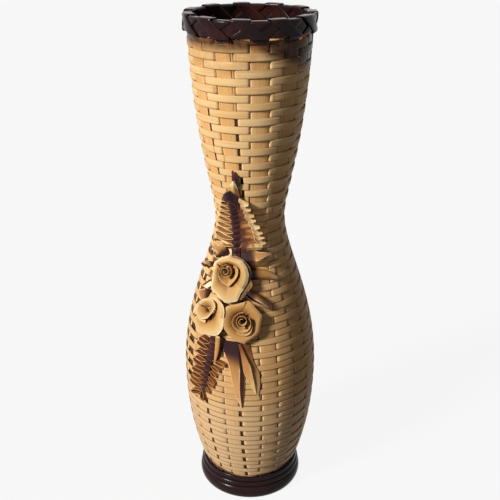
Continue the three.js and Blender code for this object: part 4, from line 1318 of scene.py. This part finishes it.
HANGING_FACES = {
    "leaf_hanging_2": [
        (0.64, [
            [(-25.7, 237.3, 1), (-22.6, 225, 1), (-18.6, 212.2, 1), (-15.5, 194.7, 1), (-12.1, 170.2, 1),
             (-7.5, 153.4, 0.8)],
            [(-10.6, 239.2, 3.5), (-9.1, 222.1, 4), (-8.3, 207.4, 4.5), (-8.2, 195, 4.5),
             (-8.2, 178.2, 3.6), (-7, 153.9, 1.5)]]),
        # The right face, turned from the light, is painted near black as shade.
        (-0.7, [
            [(-10.6, 239.2, 3.4), (-9.1, 222.1, 3.9), (-8.3, 207.4, 4.4), (-8.2, 195, 4.4),
             (-8.2, 178.2, 3.5), (-7, 153.9, 1.4)],
            [(-7.5, 238.6, 1), (-6.4, 220.9, 0.8), (-5.5, 205.7, 0.8), (-4.6, 193, 0.8), (-5, 173.1, 0.8),
             (-6.4, 152.9, 0.6)]])],
    "leaf_hanging_3": [
        (0.96, [
            [(-13.4, 235.5, 1), (-9, 223.7, 1.2), (-7.2, 211.8, 1.2), (-3.4, 195.8, 1), (0.6, 184.2, 1),
             (4.5, 172.8, 0.8)],
            [(-7.9, 237.6, 5), (-3.7, 224.4, 5.6), (0, 212.2, 5.8), (2.1, 198.6, 4.6), (3.7, 186.5, 3.6),
             (5.2, 172.6, 1.6)]]),
        (0.93, [
            [(-7.8, 236.8, 2.5), (-3.2, 223, 2.8), (0.8, 210.4, 2.8), (3, 197, 2.2), (4.6, 183.7, 1.8),
             (6.0, 171.6, 1)],
            [(-0.2, 236.6, 0.8), (1.7, 222.4, 0.8), (3.9, 212, 0.8), (7.5, 199.2, 0.8), (7.9, 182.9, 0.8),
             (6.9, 170.2, 0.6)]])],
}
print("right and hanging folded leaves:", len(RIGHT_FACES) + len(HANGING_FACES))

# %% Left faces
# In each left leaf the face with a tone of -0.7 is painted near black as the shade in its mouth or under an
# edge.
LEFT_FACES = {
    "leaf_left_1": [
        (-0.7, [
            [(-61, 311.4, 6), (-66, 310.8, 7.5), (-70, 311, 8)],
            [(-57.3, 314.3, 6.5), (-62.1, 315.1, 8), (-68, 314.3, 8.5)]]),
        (0.5, [
            [(-53.6, 320.1, 2), (-62.3, 318.2, 5), (-69, 314.8, 8)],
            [(-51.4, 318.5, 3), (-56.8, 317.3, 6), (-61.4, 315.6, 8.5)],
            [(-52.1, 315.3, 2), (-57.2, 314.6, 4), (-60.2, 313.7, 6)]])],
    "leaf_left_2": [
        (-0.7, [
            [(-55.6, 335.9, 5), (-60.8, 337.3, 6), (-66, 338.4, 6)],
            [(-51.8, 337.5, 6.5), (-55.1, 339.6, 7.5), (-60.3, 341.8, 8)]]),
        (0.7, [
            [(-40.7, 330.3, 3), (-44.8, 332.6, 5), (-52.4, 337.2, 7), (-60.3, 340.3, 8)],
            [(-35, 333.4, 3.5), (-39.7, 337.9, 6), (-46.3, 341.8, 8), (-54.5, 344, 9)],
            [(-30.6, 336.2, 2.5), (-35.4, 341.7, 4), (-42.8, 346.5, 5), (-51.3, 346, 6)]])],
    "leaf_left_3": [
        (-0.7, [
            [(-57.9, 332.9, 6), (-59.4, 329.6, 6), (-56.9, 328, 5)],
            [(-55.2, 333.6, 6.5), (-51.3, 331.8, 6.5), (-52.5, 329.2, 5.5)]]),
        (0.3, [
            [(-49.2, 326.9, 3), (-50.5, 328.3, 4), (-53.8, 330.3, 5)],
            [(-42.7, 329.2, 2.5), (-48.4, 331.9, 3.5), (-53.1, 334.5, 4)]])],
    "leaf_left_4": [
        (0.24, [
            [(-47.4, 290.4, 3), (-56.9, 286.5, 3.5), (-67.4, 280.4, 3)],
            [(-49.3, 281.4, 1), (-54, 275.9, 1.2), (-59.4, 272.6, 1)]]),
        (-0.7, [
            [(-49.3, 301.8, 3), (-54.9, 296.5, 3.4), (-62.8, 289.3, 3)],
            [(-48.3, 299.6, 3.4), (-52.5, 295, 3.8), (-58.3, 289.9, 3.4)]]),
        # A painted highlight: a tone of 1.9 paints this face pale.
        (1.9, [
            [(-48.3, 299.6, 3.6), (-52.4, 295.2, 4), (-58.1, 290.1, 3.6)],
            [(-45.5, 295.9, 4.5), (-48.5, 292.4, 5), (-52.6, 289.7, 4.5)]])],
}
print("left folded leaves:", len(LEFT_FACES))

# %% Folded leaves
FUNNEL_TONE = 0.75
# The funnel's ramp runs from its right line to its left, so its charred root darkens the inner wall, which is
# turned from the light: painted shade.
FUNNEL = [
    [(-22.8, 238.2, 1), (-24.9, 224.4, 1), (-28.5, 210.2, 1)],
    [(-25.7, 242.4, 7), (-26.2, 225.9, 6), (-30.2, 207, 2.5)],
    [(-28.7, 243, 6.6), (-28.6, 226.6, 5.6), (-30.7, 207.1, 2.3)],
    [(-32.7, 238.5, 1), (-31.8, 223.9, 1.2), (-31.8, 207, 1)],
]

for number, (name, faces) in enumerate({**RIGHT_FACES, **LEFT_FACES, **HANGING_FACES}.items()):
    solids = Solids()
    for tone, lines in faces:
        solids.sheet(folded(lines), LEAF_THICK, number * 4.3, tone)
    solids.piece(name, leaf_finish, "leaf_bamboo")

funnel = Solids().sheet(folded(FUNNEL).transpose(1, 0, 2), LEAF_THICK, 4.7, FUNNEL_TONE)
funnel.piece("leaf_hanging_1", leaf_finish, "leaf_bamboo")
print("folded leaves:", number + 2)

# %% [markdown]
# ## Folded leaflets
# Each right leaflet of the upper fern is a strip that climbs away from the rib and is folded over a
# slanting line, as paper is, so its end hangs forward as a pale point. A fold mirrors the strip's heading
# in the fold line, and a small half turn joins the two halves.

# %% Folded leaflets
FOLD_TURN = 0.7
LEAFLET_COLUMNS = 9
STRIP_ROWS, TURN_ROWS, FLAP_ROWS = 12, 8, 9
ROOT_SHARE, ROOT_GROWTH = 0.7, 0.3
FLAP_TAPER = 0.8
LEAST_LIFT = 0.3


def spread(azimuth, height, right, rise, lift):
    """Points in mm to the right of, above and off a place on the weave."""
    along = along_at(height) + rise
    angle = math.radians(azimuth) + right / radius_at(along)
    point, normal, _ = wall(angle, along)
    return point + normal * (SKIN + lift)[..., None]


def folded_leaflet(at, heading, width, reach, fold, flap, lift, tilt):
    """A leaflet from a place on the rib: it runs out along heading, folds, and its flap runs along fold."""
    way, bisector = math.radians(heading), math.radians((heading + fold) / 2)
    ahead, side = np.array([math.cos(way), math.sin(way)]), np.array([-math.sin(way), math.cos(way)])
    crease = np.array([math.cos(bisector), math.sin(bisector)])
    past = np.array([-crease[1], crease[0]])
    past = past if ahead @ past > 0 else -past
    square, slide = ahead @ past, ahead @ crease
    over = np.linspace(-1, 1, LEAFLET_COLUMNS)
    across = over * width / 2
    to_fold = reach - across * (side @ past) / square
    length = flap * (1 - FLAP_TAPER * np.abs(over)) * square
    hinge = side * across[:, None] + ahead * to_fold[:, None]
    flat, up = [], []
    for q in np.linspace(0, 1, STRIP_ROWS):
        flat.append(side * (across * (ROOT_SHARE + ROOT_GROWTH * q))[:, None] + ahead * (to_fold * q)[:, None])
        up.append(lift[0] + (lift[1] - lift[0]) * smooth(q))
    for turn in np.linspace(0, np.pi, TURN_ROWS)[1:]:
        flat.append(hinge + crease * FOLD_TURN * turn / square * slide + past * FOLD_TURN * math.sin(turn))
        up.append(lift[1] + FOLD_TURN * (1 - math.cos(turn)))
    for q in np.linspace(0, 1, FLAP_ROWS)[1:]:
        gone = np.pi * FOLD_TURN + q * length
        flat.append(hinge + crease * (gone / square * slide)[:, None] - past * (q * length)[:, None])
        up.append(lift[1] + 2 * FOLD_TURN + lift[2] * q)
    right, rise = np.moveaxis(np.array(flat), 2, 0)
    lean = np.linspace(0, 1, len(up))[:, None] * reach * ahead[1] - rise
    return spread(*at, right, rise, np.maximum(np.array(up)[:, None] + tilt * lean, LEAST_LIFT))


print("points across a leaflet:", LEAFLET_COLUMNS)

# %% [markdown]
# ## Loops and ribs
# The other leaflets are loops: the strip leaves the rib, turns back and returns, standing on its edge so
# that the light shows its rim and its inside stays dark. The rib is a narrow leaf with a row of small
# scales along it, each lying over the next.

# %% Loops and ribs
LOOP_ROWS, LOOP_COLUMNS, LOOP_ENDS = 34, 7, (0.03, 0.97)
LOOP_FULL, LOOP_NOSE = 0.62, 0.7
EDGE_IN, EDGE_NARROW, EDGE_HEIGHTS = 0.06, 0.1, (0.45, 0.55)
RIB_THICK, RIB_TONE = 1.0, 0.4
SCALES, FIRST_SCALE = 12, 0.03
TRACK_STEPS = 101


def loop_grid(at, heading, length, breadth, width, lean):
    """A loop of strip from a place on the rib, standing on its edge and leaning along its heading's side."""
    turn = np.linspace(*LOOP_ENDS, LOOP_ROWS)[:, None] * 2 * np.pi
    level = np.linspace(0, 1, LOOP_COLUMNS)[None, :]
    reach = length * (1 - np.cos(turn)) / 2 * (1 - EDGE_IN * level)
    bow = breadth * LOOP_FULL * np.sin(turn) * np.sin(turn / 2) ** LOOP_NOSE
    across = bow * (1 - EDGE_NARROW * level) + lean * level
    way = math.radians(heading)
    right = reach * math.cos(way) - across * math.sin(way)
    rise = reach * math.sin(way) + across * math.cos(way)
    stand = EDGE_HEIGHTS[0] + EDGE_HEIGHTS[1] * np.sin(turn / 2)
    return spread(*at, right, rise, LEAST_LIFT + width * level * stand)


def row_of(count, first, last):
    """Settings that run evenly from a first to a last leaflet."""
    for share in np.linspace(0, 1, count):
        yield {key: np.add(first[key], np.subtract(last[key], first[key]) * share) for key in first}


def scaly_rib(track, spine, scale, steps, last, thick, seed_step, tones, chance):
    """A rib along a track. steps are a scale's three places from its own point on the track."""
    solids = Solids().sheet(leaf_grid(track, **spine), RIB_THICK, 1.0, RIB_TONE)
    for number, share in enumerate(np.linspace(FIRST_SCALE, last, SCALES)):
        at = through(track, TRACK_STEPS)[int(share * (TRACK_STEPS - 1))]
        grid = leaf_grid([at + step for step in steps], **scale)
        solids.sheet(grid, thick, number * seed_step, chance.uniform(*tones))
    return solids


print("scales on a rib:", SCALES)

# %% [markdown]
# ## Upper fern
# The fern stands above the roses: folded leaflets on its right, tan loops on its left, and a dark rib
# between them. At its head two dark faces make a hood, with a tan fold and a dark tip above. An Array
# modifier would repeat one leaflet exactly. Here a row is given by its first and its last leaflet,
# which differ, and small random turns keep those between from looking stamped.

# %% Upper fern right
FERN_THICK = 0.7
LEAFLET_TURN, FLAP_SHARES, LEAFLET_TONES = 2.5, (0.85, 1.1), (0.25, 0.65)
UPPER_RIGHT = (
    8,
    dict(at=(-23.5, 399), heading=34, width=8.4, reach=13, fold=-92, flap=4.4, lift=(2.5, 6.0, 2.2), tilt=0.26),
    dict(at=(-18, 347), heading=24, width=10, reach=22, fold=-90, flap=6.4, lift=(2.5, 8.0, 2.8), tilt=0.28),
)
LAST_LEAFLET = [
    [(-13, 336.5, 1), (0.1, 342.5, 4), (7.7, 342.7, 6), (14.5, 343.3, 7)],
    [(-13, 342, 2.2), (0.1, 346.1, 7.2), (7.4, 346.5, 9), (15.6, 346, 8.6)],
    [(-12, 346, 2), (0.1, 349.8, 6), (7.3, 350.3, 8), (16.9, 349.1, 7)],
]
TAN_FOLD = [
    [(-30.4, 415.3, 3), (-25.1, 421.7, 4), (-20.5, 427.8, 4)],
    [(-20, 413.5, 6), (-19.3, 421.5, 6), (-19.5, 428.5, 5)],
    [(-12.6, 408.5, 5), (-14.6, 417.4, 4), (-18.6, 428.2, 4)],
]

chance = np.random.default_rng(5)
solids = Solids()
for number, sizes in enumerate(row_of(*UPPER_RIGHT)):
    sizes["heading"] += chance.normal(0, LEAFLET_TURN)
    sizes["flap"] *= chance.uniform(*FLAP_SHARES)
    solids.sheet(folded_leaflet(**sizes), FERN_THICK, number * 3.7, chance.uniform(*LEAFLET_TONES))
solids.sheet(folded(LAST_LEAFLET), FERN_THICK, 46.0, 0.5)
solids.sheet(folded(TAN_FOLD), FERN_THICK, 50.0, 0.9)
solids.piece("fern_upper_fringe_right", fern_finish, "fern_bamboo")
print("folded leaflets:", UPPER_RIGHT[0])

# %% Upper fern left
TAN_TURN, TAN_TONE, TAN_RISE, TAN_SPREAD = 4, -0.3, 0.1, 0.1
UPPER_LEFT = (
    8,
    dict(at=(-27.5, 399), heading=168, length=10, breadth=5.5, width=6.0, lean=1.6),
    dict(at=(-22, 348), heading=176, length=25, breadth=7.5, width=8.0, lean=2.0),
)

solids = Solids()
for number, sizes in enumerate(row_of(*UPPER_LEFT)):
    sizes["heading"] += chance.normal(0, TAN_TURN)
    tone = TAN_TONE + TAN_RISE * number + chance.uniform(0, TAN_SPREAD)
    solids.sheet(loop_grid(**sizes), FERN_THICK, number * 3.3, tone)
solids.piece("fern_upper_fringe_left", tan_loop_finish, "fern_bamboo")
print("tan loops:", UPPER_LEFT[0])

# %% Upper fern rib
HOOD_THICK = 0.8
UPPER_RIB = [(-19, 329, 3.6), (-21.5, 360, 3.8), (-24.2, 386, 4.2), (-25, 404, 5)]
HOOD = [
    [[(-24.7, 416.2, 5), (-32.9, 411.5, 5), (-42.5, 401.1, 2.5)],
     [(-24.8, 405, 6.5), (-31.5, 401.5, 6), (-41.3, 396.5, 2.5)]],
    [[(-24.1, 416.2, 5.6), (-15.5, 411.8, 6), (-9.8, 402.6, 4)],
     [(-24.4, 403, 7), (-19, 397.2, 6), (-14.5, 391.7, 4)]],
]
DARK_TIP = [
    [(-22.5, 420, 2), (-21.6, 431, 3), (-21.2, 439.1, 3)],
    [(-18, 419, 3), (-17, 430.6, 4.5), (-20.6, 440, 3.6)],
    [(-14.1, 417.5, 3), (-13.2, 431.4, 4), (-19.9, 440.4, 3.4)],
]

solids = scaly_rib(
    UPPER_RIB, spine=dict(width=11, curl=(-30, -30, -30), blade=(0.9, 0.3, 0.6)),
    scale=dict(width=11, curl=(-38, -38, -38), blade=(0.35, 0.5, 0.6), ridge=0.1, rows=12, columns=11),
    steps=[(0, -3, 1.0), (0, 2, 1.1), (-0.4, 6, 0.4)], last=0.92, thick=0.6, seed_step=2.9,
    tones=(0.3, 0.8), chance=chance)
for number, lines in enumerate(HOOD):
    solids.sheet(folded(lines), HOOD_THICK, 60.0 + number, 0.5)
solids.sheet(folded(DARK_TIP), HOOD_THICK, 70.0, 0.7)
solids.piece("fern_upper_rib", scorched_finish, "scorched_bamboo")
print("hood faces:", len(HOOD))

# %% [markdown]
# ## Lower fern
# Below the roses the leaflets on both sides are dark loops made in the same way. They are long and
# close on the left, with two more at the tip, and shorter on the right. A rib with scales runs between
# them.

# %% Lower fern loops
LOOP_TURN, LENGTH_SHARES, LOOP_TONES = 8, (0.85, 1.12), (0.35, 0.7)
LOWER_LEFT = (
    9,
    dict(at=(-35.5, 232), heading=162, length=16, breadth=6.0, width=7.5, lean=1.5),
    dict(at=(-42, 170), heading=182, length=19, breadth=6.5, width=7.0, lean=1.5),
)
LOWER_TIPS = [
    dict(at=(-43, 166), heading=214, length=20, breadth=6.0, width=7.0, lean=1.5),
    dict(at=(-43, 164), heading=272, length=13, breadth=6.0, width=4.5, lean=-1.0),
]
LOWER_RIGHT = (
    6,
    dict(at=(-33, 212), heading=-8, length=16, breadth=4.6, width=4.0, lean=-1.8),
    dict(at=(-40, 174), heading=-50, length=11, breadth=4.0, width=3.4, lean=-1.4),
)

chance = np.random.default_rng(6)
LOWER_SIDES = {"left": [*row_of(*LOWER_LEFT), *LOWER_TIPS], "right": row_of(*LOWER_RIGHT)}
for label, leaflets in LOWER_SIDES.items():
    solids = Solids()
    for number, sizes in enumerate(leaflets):
        heading = sizes["heading"] + chance.normal(0, LOOP_TURN)
        length = sizes["length"] * chance.uniform(*LENGTH_SHARES)
        grid = loop_grid(**{**sizes, "heading": heading, "length": length})
        solids.sheet(grid, FERN_THICK, number * 3.1, chance.uniform(*LOOP_TONES))
    solids.piece(f"fern_lower_fringe_{label}", loop_finish, "fern_bamboo")
print("lower fern loops:", LOWER_LEFT[0] + LOWER_RIGHT[0] + len(LOWER_TIPS))

# %% Lower fern rib
LOWER_RIB = [(-34, 238, 2.5), (-35.5, 215, 3.0), (-39.5, 187, 3.0), (-43, 163, 1.5)]

solids = scaly_rib(
    LOWER_RIB, spine=dict(width=8, curl=(-25, -25, -25), blade=(0.9, 0.3, 0.5)),
    scale=dict(width=9.5, curl=(-40, -40, -40), blade=(0.75, 0.5, 0.75), ridge=0.05, rows=10, columns=11),
    steps=[(0, 3.5, 1.2), (0, 0, 1.6), (-0.3, -3.5, 2.0)], last=0.93, thick=0.7, seed_step=2.3,
    tones=(0.4, 0.9), chance=chance)
solids.piece("fern_lower_rib", scorched_finish, "scorched_bamboo")
print("lower rib points:", len(LOWER_RIB))

# %% [markdown]
# ## Finish
# Last, the scene is brought up to date.

# %% Update
bpy.context.view_layer.update()
